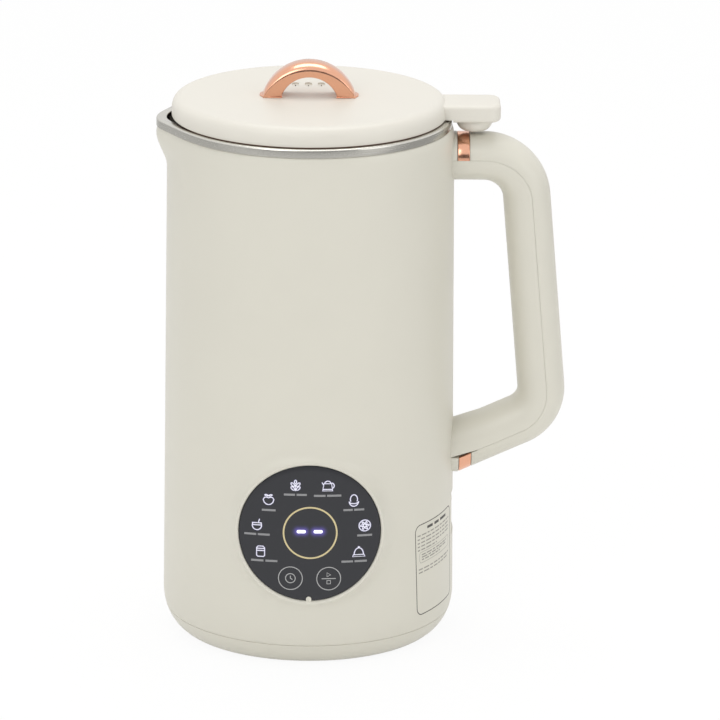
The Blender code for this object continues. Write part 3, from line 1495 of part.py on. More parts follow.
def make_power_board(material):
    inner = housing_radius(POWER_BOARD_TOP_Z) - HOUSING_WALL
    back_y = POWER_BOARD_Y + BOARD_THICKNESS
    half_width = math.sqrt(inner**2 - back_y**2) - FACET_CLEARANCE
    board = block(
        "power_board",
        (-half_width, POWER_BOARD_Y, POWER_BOARD_BOTTOM_Z),
        (half_width, back_y, POWER_BOARD_TOP_Z),
        material,
    )
    sunk = POWER_BOARD_Y + BOARD_THICKNESS / 2.0
    for name, size, place in (
        ("relay", RELAY_SIZE, RELAY_PLACE),
        ("transformer", TRANSFORMER_SIZE, TRANSFORMER_PLACE),
    ):
        x, z = place
        width, depth, height = size
        component = block(
            name,
            (x - width / 2.0, POWER_BOARD_Y - depth, z - height / 2.0),
            (x + width / 2.0, sunk, z + height / 2.0),
            material,
        )
        join(board, component)
    capacitor = rod("capacitor", CAPACITOR_RADIUS, -BOARD_THICKNESS / 2.0, CAPACITOR_LENGTH, material)
    capacitor.rotation_euler = (math.radians(90.0), 0.0, 0.0)
    capacitor.location = (CAPACITOR_PLACE[0], POWER_BOARD_Y, CAPACITOR_PLACE[1])
    join(board, capacitor)


def bend_points(before, corner, after, radius, steps):
    """Points of the arc that rounds a corner of a line in the XZ plane, with the way it runs at each."""
    into = unit(corner[0] - before[0], corner[1] - before[1])
    out = unit(after[0] - corner[0], after[1] - corner[1])
    turn = math.acos(into[0] * out[0] + into[1] * out[1])
    setback = radius * math.tan(turn / 2.0)
    start = (corner[0] - into[0] * setback, corner[1] - into[1] * setback)
    centre = (start[0] + into[1] * radius, start[1] - into[0] * radius)
    points = []
    for step in range(steps + 1):
        angle = turn * step / steps
        along = (
            into[0] * math.cos(angle) + into[1] * math.sin(angle),
            into[1] * math.cos(angle) - into[0] * math.sin(angle),
        )
        points.append(((centre[0] - along[1] * radius, centre[1] + along[0] * radius), along))
    return points


def unit(x, z):
    length = math.hypot(x, z)
    return x / length, z / length


def handle_stations(top_root_x, low_root_x):
    """The handle's centre line from the top root round to the low root, as (point, outward, half depth,
    seam offset)."""
    top_corner = (HANDLE_TOP_CORNER_X, HANDLE_TOP_Z)
    low_corner = (HANDLE_LOW_CORNER_X, HANDLE_LOW_CORNER_Z)
    top_root = (top_root_x, HANDLE_TOP_Z)
    low_root = (low_root_x, handle_arm_z(low_root_x))
    top_bend = bend_points(top_root, top_corner, low_corner, HANDLE_TOP_BEND, HANDLE_BEND_STEPS)
    low_bend = bend_points(top_corner, low_corner, low_root, HANDLE_LOW_BEND, HANDLE_BEND_STEPS)
    top = (HANDLE_TOP_HALF_DEPTH, SEAM_TOP_OFFSET)
    leg = (HANDLE_LEG_HALF_DEPTH, SEAM_LEG_OFFSET)
    low = (HANDLE_LOW_HALF_DEPTH, SEAM_LOW_OFFSET)

    line = [(top_root, top_bend[0][1], top)]
    for i, (point, along) in enumerate(top_bend):
        line.append((point, along, mixed(top, leg, smooth_step(i / HANDLE_BEND_STEPS))))
    for i, (point, along) in enumerate(low_bend):
        line.append((point, along, mixed(leg, low, smooth_step(i / HANDLE_BEND_STEPS))))
    line.append((low_root, low_bend[-1][1], low))
    return [(point, (-along[1], along[0]), *sizes) for point, along, sizes in line]


def mixed(first, second, share):
    return tuple(a + (b - a) * share for a, b in zip(first, second))


def rounded(share, power):
    """A cosine or sine raised to a power with its sign kept, which squares a circle's corners."""
    return math.copysign(abs(share) ** power, share)


def handle_tube(name, inset, roots, material):
    """The whole handle as one solid of rounded section, its surface moved inwards by the inset."""
    power = 2.0 / HANDLE_SECTION_POWER
    rings = []
    for point, outward, half_depth, _ in handle_stations(*roots):
        ring = []
        for i in range(HANDLE_SECTION_POINTS):
            angle = math.tau * i / HANDLE_SECTION_POINTS
            across = rounded(math.cos(angle), power) * (half_depth - inset)
            y = rounded(math.sin(angle), power) * (HANDLE_HALF_WIDTH - inset)
            ring.append((point[0] + outward[0] * across, y, point[1] + outward[1] * across))
        rings.append(ring)
    return lofted(name, rings, material)


def grip_side(name, shift, material):
    """The space on the body's side of the handle's seam, its edge moved outwards by the shift."""
    edge = []
    for point, outward, _, offset in handle_stations(*HANDLE_ROOTS):
        reach = offset + shift
        edge.append((point[0] + outward[0] * reach, point[1] + outward[1] * reach))
    # The edge turns between the tube's rings, as a cut that passes through their corners can go wrong.
    halfway = [mixed(low, high, 1.0 / 2.0) for low, high in zip(edge, edge[1:])]
    edge = [edge[0], *halfway, edge[-1]]
    y = HANDLE_HALF_WIDTH + CUT_OVERRUN
    rings = [[(x, side, z) for x, z in edge] for side in (-y, y)]
    return lofted(name, rings, material)


def body_envelope(name, material):
    """The housing's outside, grown by a gap, over the handle's height."""
    low = HANDLE_LOW_ROOT_Z - HANDLE_LOW_HALF_DEPTH - HANDLE_HALF_WIDTH
    high = RIM_BAND_Z
    rings = [round_ring(housing_radius(z) + FIT_GAP, z) for z in (low, high)]
    return lofted(name, rings, material)


def trim_slab(name, low_x, width, gap, z, half_height, material):
    y = HANDLE_HALF_WIDTH + CUT_OVERRUN
    return block(
        name,
        (low_x - gap, -y, z - half_height),
        (low_x + width + gap, y, z + half_height),
        material,
    )


def handle_arm_z(x):
    """Height of the lower arm's centre line at this distance from the axis."""
    slope = (HANDLE_LOW_CORNER_Z - HANDLE_LOW_ROOT_Z) / (HANDLE_LOW_CORNER_X - HANDLE_LOW_ROOT_X)
    return HANDLE_LOW_CORNER_Z - slope * (HANDLE_LOW_CORNER_X - x)


def handle_screw_heights():
    """The two screws that hold the grip-side shell, each through the housing's wall."""
    return (
        ("top_handle_screw", HANDLE_TOP_Z - HANDLE_SCREW_OFFSET),
        ("low_handle_screw", handle_arm_z(BODY_SEAM_RADIUS) + HANDLE_SCREW_OFFSET),
    )


def handle_screw_hole(name, z, material):
    hole = rod(
        name,
        HANDLE_SCREW_RADIUS + FIT_GAP,
        housing_radius(z) - CUT_OVERRUN,
        housing_radius(z) - HOUSING_WALL + HANDLE_SCREW_LENGTH + CUT_OVERRUN,
        material,
    )
    lay_along(hole, 0.0)
    hole.location = (0.0, 0.0, z)
    return hole


def make_handle(cream, rose_gold, steel, black):
    bend_start_x = handle_stations(*HANDLE_ROOTS)[1][0][0]
    plugs = (bend_start_x - HANDLE_PLUG_GAP, HANDLE_LOW_PLUG_X)
    outer = handle_tube("handle_outer_shell", 0.0, HANDLE_ROOTS, cream)
    inner = handle_tube("handle_inner_shell", 0.0, HANDLE_ROOTS, cream)
    for shell, side in ((outer, "outer"), (inner, "inner")):
        cut(shell, handle_tube(f"{side}_shell_hollow", HANDLE_WALL, plugs, cream))
        cut(shell, body_envelope(f"{side}_shell_root", cream))
    cut(outer, grip_side("outer_shell_seam", FIT_GAP / 2.0, cream))
    keep_inside(inner, grip_side("inner_shell_seam", -FIT_GAP / 2.0, cream))
    for name, z in handle_screw_heights():
        cut(inner, handle_screw_hole(f"{name}_thread", z, cream))

    reach = HANDLE_TOP_HALF_DEPTH + HANDLE_LOW_HALF_DEPTH
    for name, low_x, width, z in (
        ("handle_top_trim", TOP_TRIM_X, TOP_TRIM_WIDTH, HANDLE_TOP_Z),
        ("handle_low_trim", LOW_TRIM_X, LOW_TRIM_WIDTH, handle_arm_z(LOW_TRIM_X)),
    ):
        trim = handle_tube(name, 0.0, HANDLE_ROOTS, rose_gold)
        keep_inside(trim, trim_slab(f"{name}_slab", low_x, width, 0.0, z, reach, cream))
        cut(trim, handle_tube(f"{name}_core", TRIM_THICKNESS, HANDLE_ROOTS, cream))
        cut(trim, grip_side(f"{name}_seam", FIT_GAP + FIT_GAP / 2.0, cream))
        recess = trim_slab(f"{name}_recess", low_x, width, FIT_GAP, z, reach, cream)
        cut(recess, handle_tube(f"{name}_seat", TRIM_THICKNESS + FIT_GAP, HANDLE_ROOTS, cream))
        cut(outer, recess)

    profile = screw_profile(
        HANDLE_SCREW_HEAD_RADIUS, HANDLE_SCREW_HEAD, HANDLE_SCREW_RADIUS, HANDLE_SCREW_LENGTH
    )
    for name, z in handle_screw_heights():
        screw = turned(name, profile, steel)
        lay_along(screw, 0.0)
        head = housing_radius(z) - HOUSING_WALL - FACET_CLEARANCE - HANDLE_SCREW_HEAD
        screw.location = (head, 0.0, z)
    reed = rod("reed_switch", REED_RADIUS, 0.0, REED_LENGTH, black)
    lay_along(reed, 0.0)
    reed_z = HANDLE_TOP_Z + HANDLE_TOP_HALF_DEPTH - REED_DEPTH
    reed.location = (plugs[0] + FIT_GAP, 0.0, reed_z)


def lid_profile(radius, inset):
    """The lid's outside from its centre over the shoulder to its lower edge, moved inwards."""
    top = LID_TOP_Z - inset
    side_top = LID_BOTTOM_Z + LID_SIDE
    shoulder_height = LID_TOP_Z - side_top
    points = [(0.0, top), (radius - LID_SHOULDER, top)]
    for step in range(1, LID_SHOULDER_STEPS + 1):
        bend = math.radians(90.0 * step / LID_SHOULDER_STEPS)
        points.append(
            (
                radius - LID_SHOULDER + (LID_SHOULDER - inset) * math.sin(bend),
                side_top + (shoulder_height - inset) * math.cos(bend),
            )
        )
    points.append((radius - inset, LID_BOTTOM_Z))
    return points


def vent_cutter(name, x, bottom, top, material):
    """An oval hole through the lid, long from front to back."""
    outline = []
    for i in range(SMALL_SEGMENTS):
        angle = math.tau * i / SMALL_SEGMENTS
        outline.append(
            (
                x + VENT_HOLE_HALF_WIDTH * math.cos(angle),
                VENT_HOLE_Y + VENT_HOLE_HALF_LENGTH * math.sin(angle),
            )
        )
    rings = [[(px, py, z) for px, py in outline] for z in (bottom, top)]
    return lofted(name, rings, material)


def vent_places():
    return [(i - (VENT_HOLE_COUNT - 1) / 2.0) * VENT_HOLE_SPACING for i in range(VENT_HOLE_COUNT)]


def make_lid_shell(material):
    outside = lid_profile(LID_RADIUS, 0.0)
    inside = lid_profile(LID_RADIUS, LID_WALL)
    shell = turned("lid_shell", outside + list(reversed(inside)), material, BODY_SEGMENTS)
    tab = block(
        "lid_tab",
        (TAB_ROOT, -TAB_HALF_WIDTH, TAB_BOTTOM_Z),
        (TAB_REACH, TAB_HALF_WIDTH, TAB_TOP_Z),
        material,
    )
    corners = tab.modifiers.new("corners", "BEVEL")
    corners.width = TAB_CORNER
    corners.segments = TAB_CORNER_STEPS
    corners.limit_method = "WEIGHT"
    weights = tab.data.attributes.new("bevel_weight_edge", "FLOAT", "EDGE")
    for edge in tab.data.edges:
        ends = [tab.data.vertices[i].co for i in edge.vertices]
        upright = abs(ends[0].z - ends[1].z) > TAB_CORNER
        weights.data[edge.index].value = 1.0 if upright and ends[0].x > TAB_ROOT else 0.0
    edges = tab.modifiers.new("edges", "BEVEL")
    edges.width = TAB_EDGE
    edges.segments = TAB_EDGE_STEPS
    edges.limit_method = "ANGLE"
    edges.angle_limit = math.radians(TAB_EDGE_ANGLE)
    mid_wall = lid_profile(LID_RADIUS, LID_WALL / 2.0)
    mid_wall[-1] = (mid_wall[-1][0], LID_BOTTOM_Z - CUT_OVERRUN)
    hollow = turned(
        "tab_hollow",
        mid_wall + [(0.0, LID_BOTTOM_Z - CUT_OVERRUN)],
        material,
        BODY_SEGMENTS,
    )
    rim_way = turned(
        "rim_way",
        [
            (0.0, TAB_BOTTOM_Z - CUT_OVERRUN),
            (RIM_RADIUS + TAB_RIM_CLEARANCE, TAB_BOTTOM_Z - CUT_OVERRUN),
            (RIM_RADIUS + TAB_RIM_CLEARANCE, LID_BOTTOM_Z + FIT_GAP),
            (0.0, LID_BOTTOM_Z + FIT_GAP),
        ],
        material,
        BODY_SEGMENTS,
    )
    cut(tab, hollow, rim_way)
    join(shell, tab)
    low = LID_TOP_Z - LID_WALL - CUT_OVERRUN
    high = LID_TOP_Z + CUT_OVERRUN
    holes = [vent_cutter("lid_vent", x, low, high, material) for x in vent_places()]
    for x in (-ARCH_SCREW_X, ARCH_SCREW_X):
        place = (x, 0.0, 0.0)
        holes.append(rod("arch_screw_way", ARCH_SCREW_RADIUS + FIT_GAP, low, high, material, place=place))
    cut(shell, gathered(holes))


def make_lid_inner_cover(material):
    plate_bottom = SEAL_RING_TOP_Z + FIT_GAP
    plate_top = plate_bottom + INNER_COVER_PLATE
    inner = SKIRT_RADIUS - SKIRT_WALL
    profile = [
        (0.0, plate_top),
        (INNER_COVER_RADIUS, plate_top),
        (INNER_COVER_RADIUS, plate_bottom),
        (SKIRT_RADIUS, plate_bottom),
        (SKIRT_RADIUS, SKIRT_BOTTOM_Z),
        (inner, SKIRT_BOTTOM_Z),
        (inner, plate_bottom),
        (0.0, plate_bottom),
    ]
    cover = turned("lid_inner_cover", profile, material, BODY_SEGMENTS)
    low = plate_bottom - CUT_OVERRUN
    high = plate_top + CUT_OVERRUN
    cuts = [vent_cutter("cover_vent", x, low, high, material) for x in vent_places()]
    for i in range(STRAINER_SLOT_COUNT):
        y = (i - (STRAINER_SLOT_COUNT - 1) / 2.0) * STRAINER_SLOT_SPACING
        cuts.append(
            block(
                "strainer_slot",
                (-SKIRT_RADIUS - CUT_OVERRUN, y - STRAINER_SLOT_WIDTH / 2.0, STRAINER_SLOT_BOTTOM_Z),
                (SKIRT_WALL - inner, y + STRAINER_SLOT_WIDTH / 2.0, STRAINER_SLOT_TOP_Z),
                material,
            )
        )
    cut(cover, gathered(cuts))


def make_lid_seal(material):
    inner = SKIRT_RADIUS + FIT_GAP
    profile = [
        (inner, SEAL_RING_TOP_Z),
        (SEAL_RING_RADIUS, SEAL_RING_TOP_Z),
        (SEAL_RING_RADIUS, SEAL_RING_BOTTOM_Z),
        (inner + SEAL_RING_WALL, SEAL_RING_BOTTOM_Z),
        (inner + SEAL_RING_WALL, SEAL_RING_BOTTOM_Z - SEAL_RING_DROP),
        (inner, SEAL_RING_BOTTOM_Z - SEAL_RING_DROP),
    ]
    turned("lid_seal", profile, material, BODY_SEGMENTS)


def make_lid_boss(material, steel):
    """The bowl under the lid's tab that sits on the handle, and the magnet inside it."""
    top = TAB_BOTTOM_Z - FIT_GAP
    bottom = HANDLE_TOP_Z + HANDLE_TOP_HALF_DEPTH + FIT_GAP
    middle_radius = BOSS_BOTTOM_RADIUS + (BOSS_TOP_RADIUS - BOSS_BOTTOM_RADIUS) * BOSS_BULGE_SHARE
    pocket_radius = MAGNET_RADIUS + FIT_GAP
    profile = [
        (0.0, bottom),
        (BOSS_BOTTOM_RADIUS, bottom),
        (middle_radius, bottom + (top - bottom) / 2.0),
        (BOSS_TOP_RADIUS, top),
        (pocket_radius, top),
        (pocket_radius, bottom + BOSS_WALL),
        (0.0, bottom + BOSS_WALL),
    ]
    turned("lid_boss", profile, material, ROUND_SEGMENTS, place=(BOSS_X, 0.0, 0.0))
    magnet_z = bottom + BOSS_WALL + FIT_GAP
    magnet_top = magnet_z + MAGNET_HEIGHT
    rod("lid_magnet", MAGNET_RADIUS, magnet_z, magnet_top, steel, place=(BOSS_X, 0.0, 0.0))


def arch_circle(half_span, apex_z):
    """Centre height and radius of the arc through both feet and the apex, on the lid's top."""
    rise = apex_z - LID_TOP_Z - FIT_GAP
    radius = (half_span**2 + rise**2) / (2.0 * rise)
    return apex_z - radius, radius


def make_arch(material, steel):
    foot_z = LID_TOP_Z + FIT_GAP
    outer_z, outer_radius = arch_circle(ARCH_HALF_SPAN, ARCH_APEX_Z)
    inner_z, inner_radius = arch_circle(ARCH_INNER_HALF_SPAN, ARCH_INNER_APEX_Z)
    outer_swing = math.asin(ARCH_HALF_SPAN / outer_radius)
    inner_swing = math.asin(ARCH_INNER_HALF_SPAN / inner_radius)
    near = ARCH_HALF_DEPTH - ARCH_EDGE
    rings = []
    for step in range(ARCH_STEPS + 1):
        share = 2.0 * step / ARCH_STEPS - 1.0
        outer_turn = outer_swing * share
        inner_turn = inner_swing * share
        outer = (outer_radius * math.sin(outer_turn), outer_z + outer_radius * math.cos(outer_turn))
        inner = (inner_radius * math.sin(inner_turn), inner_z + inner_radius * math.cos(inner_turn))
        thickness = math.hypot(outer[0] - inner[0], outer[1] - inner[1])
        trim = ARCH_EDGE / thickness
        outer_mid = mixed(outer, inner, trim)
        inner_mid = mixed(inner, outer, trim)
        rings.append(
            [
                (outer[0], -near, outer[1]),
                (outer[0], near, outer[1]),
                (outer_mid[0], ARCH_HALF_DEPTH, outer_mid[1]),
                (inner_mid[0], ARCH_HALF_DEPTH, inner_mid[1]),
                (inner[0], near, inner[1]),
                (inner[0], -near, inner[1]),
                (inner_mid[0], -ARCH_HALF_DEPTH, inner_mid[1]),
                (outer_mid[0], -ARCH_HALF_DEPTH, outer_mid[1]),
            ]
        )
    arch = lofted("lid_arch", rings, material)
    head_z = LID_TOP_Z - LID_WALL - FIT_GAP - ARCH_SCREW_HEAD
    profile = screw_profile(
        ARCH_SCREW_HEAD_RADIUS, ARCH_SCREW_HEAD, ARCH_SCREW_RADIUS, ARCH_SCREW_LENGTH
    )
    for side, x in (("left", -ARCH_SCREW_X), ("right", ARCH_SCREW_X)):
        hole = rod(
            f"{side}_arch_thread",
            ARCH_SCREW_RADIUS + FIT_GAP,
            foot_z - CUT_OVERRUN,
            head_z + ARCH_SCREW_HEAD + ARCH_SCREW_LENGTH + FIT_GAP,
            material,
            place=(x, 0.0, 0.0),
        )
        cut(arch, hole)
        turned(f"{side}_arch_screw", profile, steel, place=(x, 0.0, head_z))


def handle_reach():
    """How far the handle stands out from the axis."""
    stations = handle_stations(*HANDLE_ROOTS)
    return max(point[0] + outward[0] * half_depth for point, outward, half_depth, _ in stations)


def make_axis():
    """The body's axis, placed so that the row's origin is under the middle of the whole object."""
    axis = bpy.data.objects.new("body_axis", None)
    bpy.context.scene.collection.objects.link(axis)
    front_reach = housing_radius(PANEL_Z) + LENS_PROUD
    axis.location = (
        (SPOUT_REACH - handle_reach()) / 2.0,
        (front_reach - housing_radius(CORNER_TOP_Z)) / 2.0,
        0.0,
    )


def main():
    clear_scene()
    make_axis()
    cream = finish_of("cream_plastic", (0.66, 0.62, 0.54), 0.38)
    lid_cream = finish_of("lid_cream_plastic", (0.82, 0.79, 0.73), 0.36)
    steel = finish_of("brushed_steel", (0.60, 0.60, 0.58), 0.30, 1.0)
    plated = finish_of("plated_steel", (0.65, 0.65, 0.66), 0.25, 1.0)
    rose_gold = finish_of("rose_gold", (0.86, 0.50, 0.34), 0.25, 1.0)
    rubber = finish_of("dark_rubber", (0.08, 0.05, 0.04), 0.70)
    smoke = finish_of("smoked_lens", (0.06, 0.06, 0.07), 0.20)
    black = finish_of("black_plastic", (0.03, 0.03, 0.03), 0.45)
    white = finish_of("white_plastic", (0.80, 0.80, 0.78), 0.45)
    board = finish_of("circuit_board", (0.05, 0.20, 0.09), 0.50)
    copper = finish_of("copper_winding", (0.60, 0.26, 0.12), 0.40, 1.0)
    iron = finish_of("laminated_iron", (0.32, 0.32, 0.33), 0.50, 1.0)
    brass = finish_of("brass", (0.72, 0.55, 0.25), 0.35, 1.0)
    cast = finish_of("cast_aluminium", (0.62, 0.62, 0.63), 0.45, 1.0)

    make_housing(cream)
    make_base_cover(cream)
    make_feet(rubber)
    make_base_screws(plated)
    make_jug(steel)
    make_heater(cast)
    make_probes(steel)
    make_shaft_seal(rubber, brass)
    make_motor_carrier(cast)
    make_carrier_screws(plated)
    make_bearings(plated)
    make_lower_bracket(cast)
    make_motor_bolts(plated)
    make_stator(iron)
    make_field_coils(copper)
    make_armature(copper)
    make_commutator(copper)
    make_brush_holders(black)
    make_fan(white)
    make_shaft(plated)
    make_blade("lower_blade", LOWER_BLADE_REACH, LOWER_BLADE_BEND, LOWER_BLADE_Z, 0.0, steel)
    make_blade("upper_blade", UPPER_BLADE_REACH, UPPER_BLADE_BEND, UPPER_BLADE_Z, 90.0, steel)
    make_blade_nut(steel)
    make_lens(smoke)
    make_display(board, black, plated)
    make_power_board(board)
    make_power_inlet(black)
    make_handle(cream, rose_gold, plated, black)
    make_lid_shell(lid_cream)
    make_lid_inner_cover(white)
    make_lid_seal(rubber)
    make_lid_boss(lid_cream, plated)
    make_arch(rose_gold, plated)


main()
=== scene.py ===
import json
import math

import bmesh
import bpy
from mathutils import Matrix, Vector


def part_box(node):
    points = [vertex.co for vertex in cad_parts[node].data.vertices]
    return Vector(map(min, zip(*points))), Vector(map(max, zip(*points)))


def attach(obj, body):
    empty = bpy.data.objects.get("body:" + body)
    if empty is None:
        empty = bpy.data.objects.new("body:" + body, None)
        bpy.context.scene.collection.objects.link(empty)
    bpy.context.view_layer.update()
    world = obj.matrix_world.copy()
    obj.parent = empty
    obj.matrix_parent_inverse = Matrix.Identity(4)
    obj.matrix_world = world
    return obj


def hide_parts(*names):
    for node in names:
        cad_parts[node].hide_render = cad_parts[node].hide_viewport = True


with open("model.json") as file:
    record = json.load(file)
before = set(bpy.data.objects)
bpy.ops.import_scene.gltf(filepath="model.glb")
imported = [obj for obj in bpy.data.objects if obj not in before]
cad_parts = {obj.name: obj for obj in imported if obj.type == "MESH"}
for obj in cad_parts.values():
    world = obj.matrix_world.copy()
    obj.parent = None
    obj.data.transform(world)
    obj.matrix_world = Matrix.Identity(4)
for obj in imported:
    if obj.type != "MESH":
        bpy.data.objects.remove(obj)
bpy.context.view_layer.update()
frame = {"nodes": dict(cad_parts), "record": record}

# Sizes are in metres. Heights are above the table, and radii and plan places are from the body's
# upright axis, which has the spout at -X, the handle at +X and the control panel at -Y.


def span(node, axis):
    """Lowest and highest place of a CAD node along one axis, from the body's axis."""
    low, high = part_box(node)
    return low[axis] - AXIS[axis], high[axis] - AXIS[axis]


base_low, base_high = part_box("base_cover")
AXIS = Vector(((base_low.x + base_high.x) / 2.0, (base_low.y + base_high.y) / 2.0, 0.0))

# Body
SEAM_RADIUS = 0.06715
SEAM_Z = 0.0105
UNDERSIDE_Z = span("base_cover", 2)[0]
CORNER_TOP_Z = 0.0180
CORNER_HEIGHT = 0.0186
CORNER_RUN = 0.01325
HOUSING_WALL = 0.0025
BODY_TOP_RADIUS = 0.0650
INLET_CORNER = 0.0022
RIM_X = -0.0005
RIM_RADIUS = 0.0646
SPOUT_REACH = -span("inner_jug", 0)[0] + RIM_X
SPOUT_TIP_RADIUS = 0.0215
SPOUT_FOOT_Z = 0.2180
SPOUT_RISE = 0.0165
RIM_TOP_Z = 0.2423
RIM_BAND_Z = 0.2383
RIM_DROOP = 0.0010
MOUTH_RADIUS = RIM_RADIUS - 0.0048
SPOUT_MOUTH_REACH = SPOUT_REACH - 0.0049
LIP_FOOT_Z = 0.2220
SCREW_CIRCLE_RADIUS = SEAM_RADIUS - 0.01315
SHEET = 0.0008
GAP = 0.0003
HAIRLINE = 0.00006
BODY_COLUMNS = 240
COLUMN_TURNS = [math.tau * i / BODY_COLUMNS for i in range(BODY_COLUMNS)]
MERGE_DISTANCE = 0.000002

# Control panel
PANEL_X = 0.0006
PANEL_Z = sum(span("panel_lens", 2)) / 2.0
LENS_RADIUS = span("panel_lens", 2)[1] - PANEL_Z
LENS_FRONT_Y = span("panel_lens", 1)[0]
LENS_CURVE_RADIUS = 0.1250
LENS_THICKNESS = 0.0022
LENS_SUNK = 0.0002
COLLAR_FOOT_RADIUS = 0.0405
PANEL_COLUMNS = 180

# Handle
HANDLE_TOP_Z = 0.2238
HANDLE_TOP_CORNER = (0.0968, HANDLE_TOP_Z)
HANDLE_LOW_CORNER = (0.1076, 0.1036)
HANDLE_LOW_ROOT = (0.0550, 0.0797)
HANDLE_TOP_BEND = 0.0200
HANDLE_LOW_BEND = 0.0170
HANDLE_HALF_WIDTH = 0.0130
HANDLE_SECTION_POWER = 2.3

# Lid, which sits a little towards the spout
LID_X = -0.0007
LID_RADIUS = 0.0623
LID_TOP_Z = 0.2514
LID_BOTTOM_Z = 0.2427
ARCH_X = -0.0008
TAB_CLEAR_RADIUS = RIM_RADIUS + 0.0013

# Light from all round, where 1 is white, and the place that the lamps face
AMBIENT = 0.8
LAMP_TARGET = Vector((0.0, 0.0, 0.13))


def srgb(red, green, blue):
    """A colour read off a screen, as the shader wants it."""
    def linear(value):
        share = value / 255.0
        return share / 12.92 if share <= 0.04045 else ((share + 0.055) / 1.055) ** 2.4
    return (linear(red), linear(green), linear(blue), 1.0)


def smooth_step(share):
    share = min(1.0, max(0.0, share))
    return share * share * (3.0 - 2.0 * share)


def between(first, second, share):
    return first + (second - first) * share


def mixed(first, second, share):
    return tuple(between(a, b, share) for a, b in zip(first, second))


# Shaders


def new_group(name, inputs):
    """A shared group that takes a colour, a shine and more, and puts out colour, roughness and height."""
    group = bpy.data.node_groups.new(name, "ShaderNodeTree")
    for label, kind, value in [("Colour", "Color", (1.0, 1.0, 1.0, 1.0)), ("Shine", "Float", 0.4)] + inputs:
        socket = group.interface.new_socket(label, in_out="INPUT", socket_type="NodeSocket" + kind)
        socket.default_value = value
    for label, kind in (("Colour", "Color"), ("Roughness", "Float"), ("Height", "Float")):
        group.interface.new_socket(label, in_out="OUTPUT", socket_type="NodeSocket" + kind)
    return group, group.nodes.new("NodeGroupInput")


def node(tree, kind, feeds, **settings):
    """Adds a node, sets its own settings, and feeds its inputs, given by name or number."""
    made = tree.nodes.new(kind)
    for key, value in settings.items():
        setattr(made, key, value)
    for key, value in feeds.items():
        if isinstance(value, bpy.types.NodeSocket):
            tree.links.new(value, made.inputs[key])
        else:
            made.inputs[key].default_value = value
    return made


def maths(tree, operation, *feeds):
    return node(tree, "ShaderNodeMath", dict(enumerate(feeds)), operation=operation).outputs[0]


def scaled_colour(tree, colour, light):
    return node(tree, "ShaderNodeVectorMath", {0: colour, "Scale": light}, operation="SCALE").outputs[0]


def noise(tree, coordinates, scale, detail, roughness=0.5):
    feeds = {"Vector": coordinates, "Scale": scale, "Detail": detail, "Roughness": roughness}
    return node(tree, "ShaderNodeTexNoise", feeds).outputs["Fac"]


def object_place(tree):
    return node(tree, "ShaderNodeTexCoord", {}).outputs["Object"]


def split_place(tree, place):
    parts = node(tree, "ShaderNodeSeparateXYZ", {0: place})
    return (parts.outputs[i] for i in range(3))


def length(tree, first, second):
    squares = [maths(tree, "MULTIPLY", side, side) for side in (first, second)]
    return maths(tree, "SQRT", maths(tree, "ADD", *squares))


def close_group(group, start, light, rough, height):
    """Ends a group: the colour times the light, the shine with the roughness added, and the height."""
    colour = scaled_colour(group, start.outputs["Colour"], light)
    roughness = maths(group, "ADD", rough, start.outputs["Shine"])
    node(group, "NodeGroupOutput", {"Colour": colour, "Roughness": roughness, "Height": height})
    return group


def make_moulded_group():
    """Fine moulded texture of plastic and rubber, with a faint unevenness of colour and shine."""
    group, start = new_group("moulded_skin", [("Grain size", "Float", 900.0), ("Mottle", "Float", 0.04)])
    place = object_place(group)
    fine = noise(group, place, start.outputs["Grain size"], 3.0)
    uneven = maths(group, "SUBTRACT", noise(group, place, 28.0, 4.0), 0.5)
    light = maths(group, "ADD", maths(group, "MULTIPLY", uneven, start.outputs["Mottle"]), 1.0)
    return close_group(group, start, light, maths(group, "MULTIPLY", uneven, 0.12), fine)


def make_brushed_group():
    """Fine scratches that run round an upright or a level axis, as a lathe or a belt leaves them."""
    group, start = new_group(
        "brushed_lines",
        [
            ("Centre", "Vector", (0.0, 0.0, 0.0)),
            ("Level", "Float", 0.0),
            ("Lines", "Float", 2600.0),
            ("Contrast", "Float", 0.25),
        ],
    )
    place = object_place(group)
    offset = node(group, "ShaderNodeVectorMath", {0: place, 1: start.outputs["Centre"]}, operation="SUBTRACT")
    x, y, z = split_place(group, offset.outputs[0])
    level = start.outputs["Level"]
    upright = maths(group, "SUBTRACT", 1.0, level)
    second = maths(group, "ADD", maths(group, "MULTIPLY", y, upright), maths(group, "MULTIPLY", z, level))
    along = maths(group, "ADD", maths(group, "MULTIPLY", z, upright), maths(group, "MULTIPLY", y, level))
    turn = maths(group, "ARCTAN2", second, x)
    rounds = {0: length(group, x, second), 1: along, 2: maths(group, "MULTIPLY", turn, 0.0015)}
    across = node(group, "ShaderNodeCombineXYZ", rounds).outputs[0]
    fine = noise(group, across, start.outputs["Lines"], 4.0, 0.65)
    uneven = maths(group, "SUBTRACT", fine, 0.5)
    broad = maths(group, "ADD", 0.97, maths(group, "MULTIPLY", noise(group, place, 60.0, 3.0), 0.06))
    light = maths(group, "ADD", maths(group, "MULTIPLY", uneven, start.outputs["Contrast"]), broad)
    return close_group(group, start, light, maths(group, "MULTIPLY", uneven, 0.25), fine)


MOULDED = make_moulded_group()
BRUSHED = make_brushed_group()


def new_material(name, metallic=0.0):
    made = bpy.data.materials.new(name)
    made.use_nodes = True
    shader = made.node_tree.nodes["Principled BSDF"]
    shader.inputs["Metallic"].default_value = metallic
    return made, made.node_tree, shader


